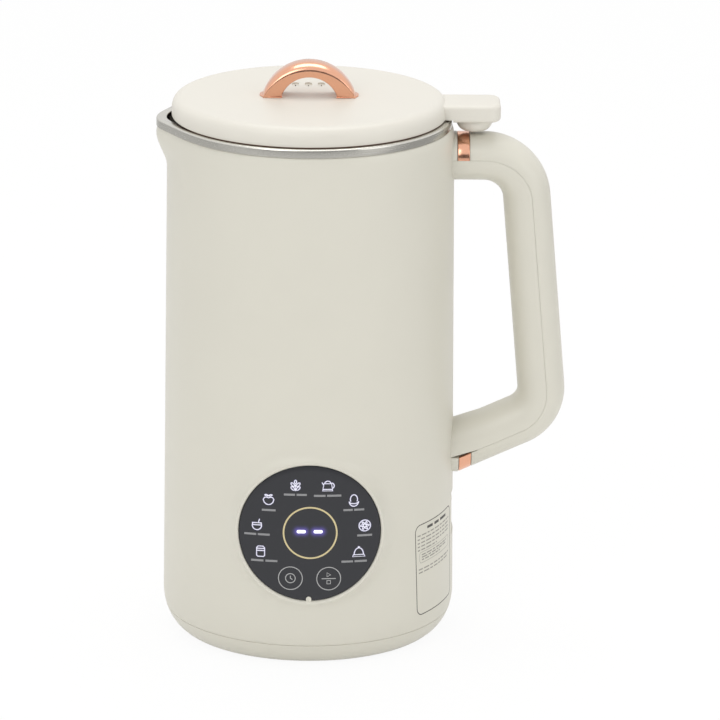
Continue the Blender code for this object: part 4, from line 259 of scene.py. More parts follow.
def surfaced(name, group, metallic, depth, values):
    """A material whose colour, roughness and fine bumps come from a shared group."""
    made, tree, shader = new_material(name, metallic)
    skin = node(tree, "ShaderNodeGroup", values, node_tree=group)
    tree.links.new(skin.outputs["Colour"], shader.inputs["Base Color"])
    tree.links.new(skin.outputs["Roughness"], shader.inputs["Roughness"])
    bump = node(tree, "ShaderNodeBump", {"Height": skin.outputs["Height"], "Distance": depth})
    tree.links.new(bump.outputs["Normal"], shader.inputs["Normal"])
    return made


def moulded(name, colour, shine, grain=900.0, mottle=0.04, depth=0.00002):
    values = {"Colour": colour, "Shine": shine, "Grain size": grain, "Mottle": mottle}
    return surfaced(name, MOULDED, 0.0, depth, values)


def brushed(name, colour, shine, centre, level=0.0, contrast=0.25, depth=0.00001):
    values = {"Colour": colour, "Shine": shine, "Centre": centre, "Level": level}
    values |= {"Lines": 2600.0, "Contrast": contrast}
    return surfaced(name, BRUSHED, 1.0, depth, values)


def ink(name, colour, shine=0.5):
    """A thin printed colour, with no bumps of its own."""
    return moulded(name, colour, shine, depth=0.0)


def lit(material, colour, strength):
    shader = material.node_tree.nodes["Principled BSDF"]
    shader.inputs["Emission Color"].default_value = colour
    shader.inputs["Emission Strength"].default_value = strength
    return material


# Modelling


def deselect():
    bpy.ops.object.select_all(action="DESELECT")


def pick(piece):
    """Selects one piece and nothing else."""
    deselect()
    piece.select_set(True)
    bpy.context.view_layer.objects.active = piece


def enter(piece):
    pick(piece)
    bpy.ops.object.mode_set(mode="EDIT")


def leave():
    bpy.ops.object.mode_set(mode="OBJECT")


def settle():
    """Applies the place, turn and size of what is selected to its mesh."""
    bpy.ops.object.transform_apply(location=True, rotation=True, scale=True)


def merge_doubles():
    bpy.ops.mesh.select_all(action="SELECT")
    bpy.ops.mesh.remove_doubles(threshold=MERGE_DISTANCE)


def face_out(piece):
    """Merges doubles and turns every face of a closed piece outwards."""
    enter(piece)
    merge_doubles()
    bpy.ops.mesh.normals_make_consistent(inside=False)
    if bmesh.from_edit_mesh(piece.data).calc_volume(signed=True) < 0.0:
        bpy.ops.mesh.flip_normals()
    leave()


def lofted(name, rings, capped=True):
    """Extrudes a circle from ring to ring. Each ring gives the place of every corner round it."""
    deselect()
    bpy.ops.mesh.primitive_circle_add(vertices=len(rings[0]), radius=LENS_RADIUS)
    piece = bpy.context.object
    piece.name = name
    bpy.ops.object.mode_set(mode="EDIT")
    shape = bmesh.from_edit_mesh(piece.data)
    corner = shape.verts.layers.int.new("corner")
    for vert in shape.verts:
        vert[corner] = vert.index
    for step, ring in enumerate(rings):
        if step:
            bpy.ops.mesh.extrude_edges_move()
        shape = bmesh.from_edit_mesh(piece.data)
        corner = shape.verts.layers.int["corner"]
        for vert in shape.verts:
            if vert.select:
                vert.co = ring[vert[corner]]
        bmesh.update_edit_mesh(piece.data)
        if capped and step in (0, len(rings) - 1):
            bpy.ops.mesh.edge_face_add()
    shape = bmesh.from_edit_mesh(piece.data)
    shape.verts.layers.int.remove(shape.verts.layers.int["corner"])
    bmesh.update_edit_mesh(piece.data)
    leave()
    face_out(piece)
    return piece


def turned(name, profile, columns=BODY_COLUMNS, centre=(0.0, 0.0)):
    """Spins an outline of (radius, height) points round an upright line. An outline that doesn't start
    and end on the line is closed first."""
    deselect()
    bpy.ops.mesh.primitive_plane_add(size=LENS_RADIUS)
    piece = bpy.context.object
    piece.name = name
    bpy.ops.object.mode_set(mode="EDIT")
    bpy.ops.mesh.select_mode(type="VERT")
    bpy.ops.mesh.select_all(action="SELECT")
    bpy.ops.mesh.merge(type="CENTER")
    if profile[0][0] > 0.0 or profile[-1][0] > 0.0:
        profile = profile + profile[:1]
    place = Vector((0.0, 0.0, 0.0))
    for step, (radius, height) in enumerate(profile):
        target = Vector((centre[0] + radius, centre[1], height))
        if step:
            bpy.ops.mesh.extrude_region_move(TRANSFORM_OT_translate={"value": target - place})
        else:
            bpy.ops.transform.translate(value=target)
        place = target
    merge_doubles()
    bpy.ops.mesh.select_all(action="SELECT")
    bpy.ops.mesh.spin(steps=columns, angle=math.tau, center=(*centre, 0.0), axis=(0.0, 0.0, 1.0))
    leave()
    face_out(piece)
    return piece


def block(name, low, high):
    deselect()
    middle = [(a + b) / 2.0 for a, b in zip(low, high)]
    bpy.ops.mesh.primitive_cube_add(size=1.0, location=middle)
    piece = bpy.context.object
    piece.name = name
    piece.scale = [b - a for a, b in zip(low, high)]
    settle()
    return piece


def bevelled(piece, offset, segments, chosen):
    """Rounds only the edges whose two ends pass the test."""
    enter(piece)
    bpy.ops.mesh.select_mode(type="EDGE")
    bpy.ops.mesh.select_all(action="DESELECT")
    for edge in bmesh.from_edit_mesh(piece.data).edges:
        if chosen(edge.verts[0].co, edge.verts[1].co):
            edge.select = True
    bmesh.update_edit_mesh(piece.data)
    bpy.ops.mesh.bevel(offset=offset, segments=segments)
    leave()


def modify(piece, kind, **settings):
    """Adds a modifier and applies it."""
    modifier = piece.modifiers.new(kind.lower(), kind)
    for key, value in settings.items():
        setattr(modifier, key, value)
    pick(piece)
    bpy.ops.object.modifier_apply(modifier=modifier.name)


def rounded(piece, width, angle=40.0, segments=3):
    modify(
        piece,
        "BEVEL",
        width=width,
        segments=segments,
        limit_method="ANGLE",
        angle_limit=math.radians(angle),
        harden_normals=False,
    )


def boolean(piece, other, operation):
    modify(piece, "BOOLEAN", operation=operation, object=other, solver="EXACT")
    bpy.data.objects.remove(other)


def finish(piece, body, slot, material, *nodes, smooth=35.0):
    """Puts the piece on the body's axis, shades it, gives it its material, hangs it on its body, and hides the CAD
    nodes that it replaces.
    """
    pick(piece)
    piece.location = AXIS
    settle()
    bpy.ops.object.shade_smooth_by_angle(angle=math.radians(smooth))
    piece.data.materials.clear()
    piece.data.materials.append(material)
    piece.data.name = piece.name
    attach(piece, body)
    if nodes:
        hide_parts(*nodes)


def copied(name, label):
    """A new piece from a copy of a CAD node, with its doubles merged."""
    pick(frame["nodes"][label])
    bpy.ops.object.duplicate()
    piece = bpy.context.view_layer.objects.active
    piece.name = name
    enter(piece)
    merge_doubles()
    bpy.ops.mesh.dissolve_limited(angle_limit=math.radians(1.0))
    leave()
    piece.location = -AXIS
    settle()
    return piece


def joined(name, pieces):
    deselect()
    for piece in pieces:
        piece.select_set(True)
    bpy.context.view_layer.objects.active = pieces[0]
    if len(pieces) > 1:
        bpy.ops.object.join()
    pieces[0].name = name
    return pieces[0]


def tube(name, centre, outer, inner, low, high):
    edge = 0.0003
    profile = [(inner, low + edge), (inner + edge, low), (outer - edge, low), (outer, low + edge)]
    profile += [(outer, high - edge), (outer - edge, high), (inner + edge, high), (inner, high - edge)]
    return turned(name, profile, 40, centre)


def around(count, first, radius):
    """Even places round the body's axis, each with its angle."""
    angles = turns(first, first + 360.0, count)[:-1]
    return [(angle, (radius * math.cos(angle), radius * math.sin(angle))) for angle in angles]


def turns(first, last, steps):
    """Angles in radians between two given in degrees."""
    return [math.radians(first + (last - first) * step / steps) for step in range(steps + 1)]


def circle(radius, z):
    return [(radius * math.cos(turn), radius * math.sin(turn), z) for turn in COLUMN_TURNS]


def corner_arc(centre, radius, start, end, steps):
    """Points (radius, height) of an outline round a corner, between two angles in degrees."""
    x, z = centre
    return [(x + radius * math.cos(turn), z + radius * math.sin(turn)) for turn in turns(start, end, steps)]


def rounded_outline(low, high, corner, steps=6):
    """Points round a rectangle with rounded corners, between two of its corners."""
    points = []
    for x, z, first in ((1, 1, 0.0), (0, 1, 90.0), (0, 0, 180.0), (1, 0, 270.0)):
        centre = ((low[0], high[0])[x] + corner * (1 - 2 * x), (low[1], high[1])[z] + corner * (1 - 2 * z))
        points += corner_arc(centre, corner, first, first + 90.0, steps)
    return points


# Housing, rim and base


def housing_radius(z):
    """The wall's radius at a height: its slight taper, and its turn inwards at the foot."""
    share = (z - SEAM_Z) / (RIM_BAND_Z - SEAM_Z)
    below = min(1.0, max(0.0, CORNER_TOP_Z - z) / CORNER_HEIGHT)
    wall = SEAM_RADIUS + (BODY_TOP_RADIUS - SEAM_RADIUS) * share
    return wall - CORNER_RUN * (1.0 - math.sqrt(1.0 - below * below))


def beak_radius(angle, radius, reach, tip_radius):
    """Distance from the axis to a circle that is drawn out to a rounded beak on its -X side."""
    if reach <= radius:
        return radius
    offset = reach - tip_radius
    away = abs(math.remainder(angle - math.pi, math.tau))
    belt = math.acos((radius - tip_radius) / offset)
    tip_end = math.atan2(tip_radius * math.sin(belt), offset + tip_radius * math.cos(belt))
    if away >= belt:
        return radius
    if away > tip_end:
        return radius / math.cos(belt - away)
    return offset * math.cos(away) + math.sqrt(tip_radius**2 - (offset * math.sin(away)) ** 2)


def beak_ring(radius, reach, z, inset=0.0, shift=0.0, droop=0.0):
    """A level of the body or the rim, moved inwards. The rim's droop lowers it towards the spout's tip."""
    ring = []
    for angle in COLUMN_TURNS:
        distance = beak_radius(angle, radius - inset, reach - inset, SPOUT_TIP_RADIUS - inset)
        near = smooth_step(1.0 - abs(math.remainder(angle - math.pi, math.tau)) / 0.7)
        ring.append((shift + distance * math.cos(angle), distance * math.sin(angle), z - droop * near))
    return ring


def rim_ring(z, inset):
    return beak_ring(RIM_RADIUS, SPOUT_REACH, z, inset, RIM_X, RIM_DROOP)


def housing_ring(z, inset, outline_z=None):
    """The housing's outline at a height, moved inwards. Its spout swells from the spout's foot."""
    at = z if outline_z is None else outline_z
    radius = housing_radius(at)
    swell = smooth_step((at - SPOUT_FOOT_Z) / SPOUT_RISE)
    return beak_ring(radius, radius + (SPOUT_REACH - RIM_X - BODY_TOP_RADIUS) * swell, z, inset)


def make_housing(material):
    edge = 0.0003
    bottom_z = SEAM_Z + HAIRLINE
    shoulder_z = RIM_BAND_Z - HAIRLINE
    top_z = RIM_TOP_Z - RIM_DROOP - SHEET - GAP
    shoulder = BODY_TOP_RADIUS - RIM_RADIUS + SHEET + GAP - RIM_X
    corner_levels = [0.0120, 0.0135, 0.0150, 0.0165, 0.0180]
    levels = [0.022, 0.040, 0.080, 0.120, 0.160, 0.195]
    spout_levels = [SPOUT_FOOT_Z + (shoulder_z - 0.0010 - SPOUT_FOOT_Z) * step / 14.0 for step in range(15)]

    def soft_top(z):
        return 0.0010 * max(0.0, (z - 0.2328) / 0.0055) ** 2.4

    outer = []
    for inset, rise in corner_arc((edge, edge), edge, 270.0, 180.0, 3):
        outer.append(housing_ring(bottom_z + rise, inset))
    outer += [housing_ring(z, soft_top(z)) for z in corner_levels + levels + spout_levels]
    for inset, drop in corner_arc((edge, edge), edge, 180.0, 270.0, 3):
        outer.append(housing_ring(shoulder_z - drop, inset + soft_top(shoulder_z - drop)))
    outer.append(housing_ring(shoulder_z, shoulder + edge))
    outer.append(housing_ring(top_z, shoulder + edge, shoulder_z))
    outer.append(housing_ring(top_z, HOUSING_WALL, shoulder_z))
    outer += [housing_ring(z, HOUSING_WALL) for z in reversed(corner_levels[::4] + levels + spout_levels[::2])]
    outer.append(housing_ring(bottom_z, HOUSING_WALL))
    housing = lofted("housing_skin", outer + outer[:1], capped=False)

    window_radius = LENS_RADIUS - 0.0015
    window = turned("panel_window", [(0.0, 0.0), (window_radius, 0.0), (window_radius, 0.03), (0.0, 0.03)], 96)
    window.rotation_euler = (math.radians(90.0), 0.0, 0.0)
    window.location = (PANEL_X, -0.0500, PANEL_Z)
    boolean(housing, window, "DIFFERENCE")
    low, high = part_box("power_inlet")
    low = low - AXIS - Vector((HAIRLINE, HAIRLINE, HAIRLINE))
    high = high - AXIS + Vector((0.01, HAIRLINE, HAIRLINE))
    opening = block("inlet_opening", low, high)
    bevelled(opening, INLET_CORNER, 6, lambda start, end: abs(start.x - end.x) > 0.01)
    boolean(housing, opening, "DIFFERENCE")
    finish(housing, "body", "cream_plastic", material, "outer_housing")

    posts = []
    for angle, place in around(3, 90.0, SCREW_CIRCLE_RADIUS):
        posts.append(tube("post", place, 0.0040, 0.0017, 0.0108, 0.0360))
        web = block("web", (0.0572, -0.0015, 0.0142), (0.0650, 0.0015, 0.0330))
        rounded(web, 0.0003, 60.0, 2)
        web.rotation_euler = (0.0, 0.0, angle)
        posts.append(web)
    finish(joined("housing_posts", posts), "body", "cream_plastic", material)


def lens_y(x, back=0.0):
    """Depth of the gently curved lens at a place across it."""
    return LENS_FRONT_Y + back + LENS_CURVE_RADIUS - math.sqrt(LENS_CURVE_RADIUS**2 - x * x)


def wall_y(x, z):
    return -math.sqrt(housing_radius(z) ** 2 - x * x)


def panel_ring(radius, depth):
    """A ring of the control panel, whose depth is set by the place across the lens and by the wall."""
    ring = []
    for i in range(PANEL_COLUMNS):
        angle = math.tau * i / PANEL_COLUMNS
        x = radius * math.cos(angle)
        z = PANEL_Z + radius * math.sin(angle)
        ring.append((PANEL_X + x, depth(x, wall_y(PANEL_X + x, z)), z))
    return ring


def lens_ring(radius, back):
    """A ring that follows the lens's curve, this far behind it."""
    return panel_ring(radius, lambda x, wall: lens_y(x, back))


def make_collar(material):
    """The soft raised ring that the housing forms round the lens, and the small tab at its foot."""
    seat = LENS_RADIUS + 0.00015
    proud = 0.0009
    roll = 0.0014
    behind = LENS_THICKNESS + GAP
    rings = [lens_ring(seat - 0.0020, behind), lens_ring(seat, behind)]
    for turn in turns(0.0, 90.0, 5):
        rings.append(lens_ring(seat + roll * (1.0 - math.cos(turn)), roll * (1.0 - math.sin(turn)) - proud))
    steps = 20
    for step in range(1, steps + 1):
        radius = seat + roll + (COLLAR_FOOT_RADIUS - seat - roll) * step / steps
        share = 1.0 - (1.0 - step / steps) ** 3.2
        sunk = HAIRLINE if step == steps else 0.0

        def slope(x, wall):
            return between(lens_y(x, -proud), wall + sunk, share)

        rings.append(panel_ring(radius, slope))
    rings.append(panel_ring(COLLAR_FOOT_RADIUS - 0.0010, lambda x, wall: wall + 0.0010))
    rings.append(panel_ring(seat - 0.0020, lambda x, wall: wall + HOUSING_WALL))
    collar = lofted("panel_collar", rings + rings[:1], capped=False)
    finish(collar, "body", "cream_plastic", material, smooth=50.0)

    outline = [(0.0009, -0.0333), (-0.0015, -0.0333)]
    for turn in turns(180.0, 0.0, 12):
        outline.append((0.0012 * math.cos(turn) - 0.0003, 0.0012 * math.sin(turn) - 0.0312))
    tab = plate("panel_tab", outline, 0.0005, 0.0014)
    rounded(tab, 0.00015, 50.0, 2)
    finish(tab, "body", "cream_plastic", material)


def make_base(material):
    """The base cover under the seam, with its rounded corner, vents, screw ways and foot pockets."""
    low = UNDERSIDE_Z
    edge = 0.0003
    floor = 0.0018
    foot = housing_radius(low)
    profile = [(0.0, low), (foot - 0.004, low), (foot, low)]
    for turn in turns(0.0, 90.0, 12)[1:-1]:
        z = low + (SEAM_Z - edge - low) * (1.0 - math.cos(turn))
        profile.append((housing_radius(z), z))
    seam = housing_radius(SEAM_Z)
    profile += corner_arc((seam - edge, SEAM_Z - edge), edge, 20.0, 90.0, 3)
    inner = seam - HOUSING_WALL - GAP
    profile += [(inner, SEAM_Z), (inner, SEAM_Z + 0.003), (inner - 0.002, SEAM_Z + 0.003)]
    profile += [(inner - 0.002, SEAM_Z), (foot - 0.003, low + floor), (0.0, low + floor)]
    base = turned("base_shell", profile)
    for i in range(8):
        slot = block("base_vent", (0.0100, -0.0015, low - 0.002), (0.0280, 0.0015, low + 0.006))
        rounded(slot, 0.0014, 60.0, 3)
        slot.rotation_euler = (0.0, 0.0, math.radians(45.0 * i))
        boolean(base, slot, "DIFFERENCE")
    ways = around(3, 90.0, SCREW_CIRCLE_RADIUS)
    for _, place in ways:
        way = [(0.0, low - 0.002), (0.0036, low - 0.002), (0.0033, low + 0.0003)]
        way += [(0.0033, low + 0.004), (0.0, low + 0.004)]
        boolean(base, turned("screw_way", way, 32, place), "DIFFERENCE")
    for _, place in around(4, 45.0, 0.0470):
        pocket = [(0.0, low - 0.002), (0.0073, low - 0.002), (0.0073, low + 0.0012), (0.0, low + 0.0012)]
        boolean(base, turned("foot_pocket", pocket, 40, place), "DIFFERENCE")
    finish(base, "body", "cream_plastic", material, "base_cover")
    pillars = [tube("pillar", place, 0.0047, 0.0033, low + floor - 0.0006, SEAM_Z - 0.0002) for _, place in ways]
    finish(joined("base_pillars", pillars), "body", "cream_plastic", material)


def make_feet(material):
    for i in range(4):
        name = f"rubber_foot_{i + 1}"
        low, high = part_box(name)
        centre = ((low.x + high.x) / 2.0 - AXIS.x, (low.y + high.y) / 2.0 - AXIS.y)
        radius = (high.x - low.x) / 2.0
        edge = 0.0005
        profile = [(0.0, low.z + 0.0002), (radius * 0.6, low.z + 0.0002), (radius * 0.64, low.z)]
        profile += corner_arc((radius - edge, low.z + edge), edge, 270.0, 360.0, 3)
        profile += [(radius, high.z), (0.0, high.z)]
        finish(turned(f"foot_pad_{i + 1}", profile, 48, centre), "body", "dark_rubber", material, name)


def lip_ring(z, inset):
    """The jug's wall above the lip's foot, where it opens to the mouth and to the spout."""
    lip_radius = MOUTH_RADIUS - 0.0010
    share = (z - LIP_FOOT_Z) / (RIM_TOP_Z - LIP_FOOT_Z)
    radius = lip_radius + (MOUTH_RADIUS - lip_radius) * share
    reach = radius + (SPOUT_MOUTH_REACH - MOUTH_RADIUS) * smooth_step(share / 0.85)
    return beak_ring(radius, reach, z, inset, RIM_X, RIM_DROOP * smooth_step(share))


def make_jug(material):
    """The steel jug in one sheet: floor, wall, spout, flat rim and the band round its outside."""
    floor_z = 0.0968
    floor_radius = MOUTH_RADIUS - 0.0040
    hole = 0.0083
    bend = 0.0060
    roll = 0.0009

    def floor(inset, z, corner):
        rings = [circle(hole, z), circle(0.030, z)]
        for turn in turns(0.0, 90.0, 6):
            radius = floor_radius + inset - corner * (1.0 - math.sin(turn))
            rings.append(circle(radius, z + corner * (1.0 - math.cos(turn))))
        return rings

    levels = [LIP_FOOT_Z + (RIM_TOP_Z - LIP_FOOT_Z) * step / 8.0 for step in range(8)]
    rings = floor(SHEET, floor_z - SHEET, bend + SHEET)
    rings += [lip_ring(z, -SHEET) for z in levels]
    rings += [
        lip_ring(RIM_TOP_Z - SHEET, -SHEET),
        rim_ring(RIM_TOP_Z - SHEET, SHEET),
        rim_ring(RIM_BAND_Z, SHEET),
        rim_ring(RIM_BAND_Z, 0.0002),
        rim_ring(RIM_BAND_Z + 0.0002, 0.0),
    ]
    for turn in turns(0.0, 90.0, 5):
        rings.append(rim_ring(RIM_TOP_Z - roll * (1.0 - math.sin(turn)), roll * (1.0 - math.cos(turn))))
    for turn in turns(0.0, 90.0, 3):
        rings.append(lip_ring(RIM_TOP_Z - 0.0006 * (1.0 - math.cos(turn)), -0.0006 * (1.0 - math.sin(turn))))
    rings += [lip_ring(z, 0.0) for z in reversed(levels)]
    rings += reversed(floor(0.0, floor_z, bend))
    jug = lofted("jug_shell", rings + rings[:1], capped=False)
    finish(jug, "body", "brushed_steel", material, "inner_jug")
    stud_top_z = floor_z - SHEET / 2.0
    studs = [tube("stud", place, 0.0030, 0.0015, 0.0840, stud_top_z) for _, place in around(3, 30.0, 0.0465)]
    finish(joined("jug_studs", studs), "body", "brushed_steel", material)


def make_inlet(cream, black, metal):
    """The power inlet: a surround flush with the housing, the deep socket in it, and three flat pins."""
    low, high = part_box("power_inlet")
    half_width = (high.y - low.y) / 2.0
    half_height = (high.z - low.z) / 2.0
    middle = (high.z + low.z) / 2.0
    back = low.x - AXIS.x

    def level(inset, depth):
        wide, tall = half_width - inset, half_height - inset
        corner = max(INLET_CORNER - inset * 0.3, 0.001)
        ring = []
        for y, z in rounded_outline((-wide, middle - tall), (wide, middle + tall), corner, 7):
            x = back if depth is None else math.sqrt(housing_radius(z) ** 2 - y * y) - depth
            ring.append((x, y, z))
        return ring

    rings = [level(0.0, 0.0030), level(0.0, 0.0003), level(0.0001, 0.0001), level(0.0003, 0.0), level(0.0033, 0.0)]
    rings += [level(0.0035, 0.0001), level(0.0036, 0.0003), level(0.0036, 0.0030)]
    finish(lofted("inlet_surround", rings + rings[:1], capped=False), "body", "cream_plastic", cream)
    rings = [level(0.0, None), level(0.0, 0.0031), level(0.00366, 0.0031), level(0.00366, 0.0008)]
    rings += [level(0.0040, 0.0008), level(0.0042, 0.0125), level(0.0060, 0.0127)]
    finish(lofted("inlet_socket", rings), "body", "black_plastic", black, "power_inlet")
    pins = []
    for y, rise in ((-0.0070, -0.0020), (0.0070, -0.0020), (0.0, 0.0020)):
        z = middle + rise
        pin = block("pin", (back + 0.0018, y - 0.0010, z - 0.0020), (back + 0.0120, y + 0.0010, z + 0.0020))
        rounded(pin, 0.0004, 60.0, 2)
        pins.append(pin)
    finish(joined("inlet_pins", pins), "body", "plated_steel", metal)


# Handle


def unit(x, z):
    length = math.hypot(x, z)
    return x / length, z / length


def bend_points(before, corner, after, radius, steps):
    """Points of the arc that rounds a corner of a line in the XZ plane, with the way it runs at each."""
    into = unit(corner[0] - before[0], corner[1] - before[1])
    out = unit(after[0] - corner[0], after[1] - corner[1])
    turn = math.acos(into[0] * out[0] + into[1] * out[1])
    setback = radius * math.tan(turn / 2.0)
    start = (corner[0] - into[0] * setback, corner[1] - into[1] * setback)
    centre = (start[0] + into[1] * radius, start[1] - into[0] * radius)
    points = []
    for step in range(steps + 1):
        angle = turn * step / steps
        along = (
            into[0] * math.cos(angle) + into[1] * math.sin(angle),
            into[1] * math.cos(angle) - into[0] * math.sin(angle),
        )
        points.append(((centre[0] - along[1] * radius, centre[1] + along[0] * radius), along))
    return points


def low_arm_z(x):
    slope = (HANDLE_LOW_CORNER[1] - HANDLE_LOW_ROOT[1]) / (HANDLE_LOW_CORNER[0] - HANDLE_LOW_ROOT[0])
    return HANDLE_LOW_CORNER[1] - slope * (HANDLE_LOW_CORNER[0] - x)


# Half depth of the section and how far the seam lies outside its middle
TOP_SECTION = (0.0107, 0.0006)
GRIP_SECTION = (0.0108, 0.0021)
LOW_SECTION = (0.0110, 0.0025)
BEND_STEPS = 20


def handle_stations():
    """Places along the handle between its straight arms, as (point, outward, half depth, seam offset)."""
    top_root = (HANDLE_LOW_ROOT[0], HANDLE_TOP_Z)
    top_bend = bend_points(top_root, HANDLE_TOP_CORNER, HANDLE_LOW_CORNER, HANDLE_TOP_BEND, BEND_STEPS)
    low_bend = bend_points(HANDLE_TOP_CORNER, HANDLE_LOW_CORNER, HANDLE_LOW_ROOT, HANDLE_LOW_BEND, BEND_STEPS)
    stations = []
    for bend, before, after in ((top_bend, TOP_SECTION, GRIP_SECTION), (low_bend, GRIP_SECTION, LOW_SECTION)):
        for i, (point, along) in enumerate(bend):
            sizes = mixed(before, after, smooth_step(i / BEND_STEPS))
            stations.append((point, (-along[1], along[0]), *sizes))
    return stations


def arm_station(x, top):
    """A section of an arm in the upright plane at x, whose points keep to the arm's slanting sides."""
    if top:
        return ((x, HANDLE_TOP_Z), (0.0, 1.0), *TOP_SECTION)
    slope = math.atan2(HANDLE_LOW_CORNER[1] - HANDLE_LOW_ROOT[1], HANDLE_LOW_CORNER[0] - HANDLE_LOW_ROOT[0])
    return ((x, low_arm_z(x)), (0.0, -1.0 / math.cos(slope)), *LOW_SECTION)


def section_ring(station, side, inset):
    """Half of the handle's rounded section, on the outer (+1) or the inner (-1) side of the seam."""
    point, outward, half_depth, offset = station
    power = 2.0 / HANDLE_SECTION_POWER
    depth = half_depth - inset
    width = HANDLE_HALF_WIDTH - inset
    seam = offset + side * HAIRLINE / 3.0
    lip = 0.00014
    points = 22
    cut_angle = math.acos(math.copysign(abs(min(1.0, abs(seam) / depth)) ** (1.0 / power), seam))
    if side < 0:
        cut_angle = math.pi - cut_angle
    ring = []
    for i in range(points + 1):
        angle = -cut_angle + 2.0 * cut_angle * i / points
        across = side * math.copysign(abs(math.cos(angle)) ** power, math.cos(angle)) * depth
        y = math.copysign(abs(math.sin(angle)) ** power, math.sin(angle)) * width
        ring.append((across, y))

    def seam_edge(across, y):
        """The section's edge at the seam, rounded from its outside to the seam's face."""
        shares = ((1.0, 0.0), (0.3, 0.3), (0.0, 1.0))
        return [(across + side * lip * out, y - math.copysign(lip * back, y)) for out, back in shares]

    first, last = seam_edge(*ring[0]), seam_edge(*ring[-1])
    ring = first[:1] + ring[1:-1] + last + first[:0:-1]
    return [(point[0] + outward[0] * across, y, point[1] + outward[1] * across) for across, y in ring]


def root_ring(station, side, inset):
    """A section's ring pushed back into the housing's wall."""
    ring = []
    for x, y, z in section_ring(station, side, inset):
        ring.append((math.sqrt((housing_radius(z) - 0.0008) ** 2 - y * y), y, z))
    return ring


# Whether the trim is on the top arm, where it starts, and its width
TRIMS = ((True, BODY_TOP_RADIUS + 0.0014, 0.0055), (False, SEAM_RADIUS + 0.00185, 0.0056))
TRIM_DEPTH = 0.0012


def soft_edge(x, way, size):
    """Places along an arm and depths of the sections that round an edge off, ending deepest at x."""
    return [(x + way * size, 0.0), (x + way * size * 0.3, size * 0.3), (x, size)]


def trim_rings(top, start, width, side):
    """Rings of the outer half from the housing past the trim's groove, or of the plain inner half."""
    rings = [root_ring(arm_station(start, top), side, 0.0)]
    if side < 0:
        return rings + [section_ring(arm_station(start + width + 0.004, top), side, 0.0)]
    low = start - 0.00012
    high = start + width + 0.00012
    sunk = TRIM_DEPTH + GAP
    soft = 0.00025
    groove = soft_edge(low, -1, soft) + [(low, sunk), (high, sunk)] + soft_edge(high, 1, soft)[::-1]
    return rings + [section_ring(arm_station(x, top), side, inset) for x, inset in groove]


def make_handle(cream, gold):
    for name, side, replaced in (
        ("handle_front_shell", 1, "handle_outer_shell"),
        ("handle_back_shell", -1, "handle_inner_shell"),
    ):
        rings = trim_rings(*TRIMS[0], side)
        rings += [section_ring(station, side, 0.0) for station in handle_stations()]
        rings += reversed(trim_rings(*TRIMS[1], side))
        shell = lofted(name, rings)
        finish(shell, "body", "cream_plastic", cream, replaced, smooth=40.0)
    for (top, start, width), replaced in zip(TRIMS, ("handle_top_trim", "handle_low_trim")):
        edge, end = 0.0004, start + width
        band = [(start, TRIM_DEPTH)] + soft_edge(start, 1, edge)[::-1]
        band += soft_edge(end, -1, edge) + [(end, TRIM_DEPTH)]
        rings = [section_ring(arm_station(x, top), 1, inset) for x, inset in band]
        finish(lofted(replaced.replace("trim", "band"), rings), "body", "rose_gold", gold, replaced)


# Lid


def make_lid_shell(material):
    shoulder = 0.0058
    side_top = LID_BOTTOM_Z + 0.0018
    wall = 0.0022
    outside = [(0.0, LID_TOP_Z), (LID_RADIUS * 0.5, LID_TOP_Z)]
    for turn in turns(0.0, 90.0, 16):
        radius = LID_RADIUS - shoulder * (1.0 - math.sin(turn) ** 0.74)
        outside.append((radius, side_top + (LID_TOP_Z - side_top) * abs(math.cos(turn)) ** 0.74))
    outside += corner_arc((LID_RADIUS - 0.0003, LID_BOTTOM_Z + 0.0003), 0.0003, 0.0, -90.0, 4)
    inside = [(LID_RADIUS - wall, LID_BOTTOM_Z), (LID_RADIUS - wall, side_top)]
    inside += [(LID_RADIUS - shoulder, LID_TOP_Z - wall), (0.0, LID_TOP_Z - wall)]
    shell = turned("lid_cap", outside + inside, centre=(LID_X, 0.0))

    low_z = span("lid_shell", 2)[0] - 0.0005
    reach = span("lid_shell", 0)[1] - 0.0006
    tab = block("lid_tab", (LID_RADIUS - 0.0068, -0.0120, low_z), (reach, 0.0120, 0.2495))
    bevelled(tab, 0.0055, 12, lambda start, end: abs(start.z - end.z) > 0.005 and start.x > LID_RADIUS)
    rounded(tab, 0.0018, 50.0, 5)
    inner = LID_RADIUS - wall / 2.0
    hollow = [(0.0, low_z - 0.002), (TAB_CLEAR_RADIUS, low_z - 0.002), (TAB_CLEAR_RADIUS, LID_BOTTOM_Z + 0.0002)]
    hollow += [(inner, LID_BOTTOM_Z + 0.0002), (inner, side_top)]
    hollow += [(LID_RADIUS - shoulder, LID_TOP_Z - wall / 2.0), (0.0, LID_TOP_Z - wall / 2.0)]
    boolean(tab, turned("tab_hollow", hollow, centre=(LID_X, 0.0)), "DIFFERENCE")
    boolean(shell, tab, "UNION")
    for i in range(3):
        for radius, depth in ((0.0016, 0.0008), (0.0003, 0.0060)):
            low, high = LID_TOP_Z - depth, LID_TOP_Z + 0.002
            profile = [(0.0, low), (radius, low), (radius, high - 0.0023), (radius + 0.0003, high), (0.0, high)]
            slot = turned("vent_slot", profile, 40)
            for vert in slot.data.vertices:
                vert.co.y += math.copysign(0.0021, vert.co.y) if abs(vert.co.y) > 0.00001 else 0.0
                vert.co += Vector(((i - 1) * 0.0059 - 0.0012, 0.0204, 0.0))
            boolean(shell, slot, "DIFFERENCE")
    finish(shell, "lid", "lid_cream_plastic", material, "lid_shell")


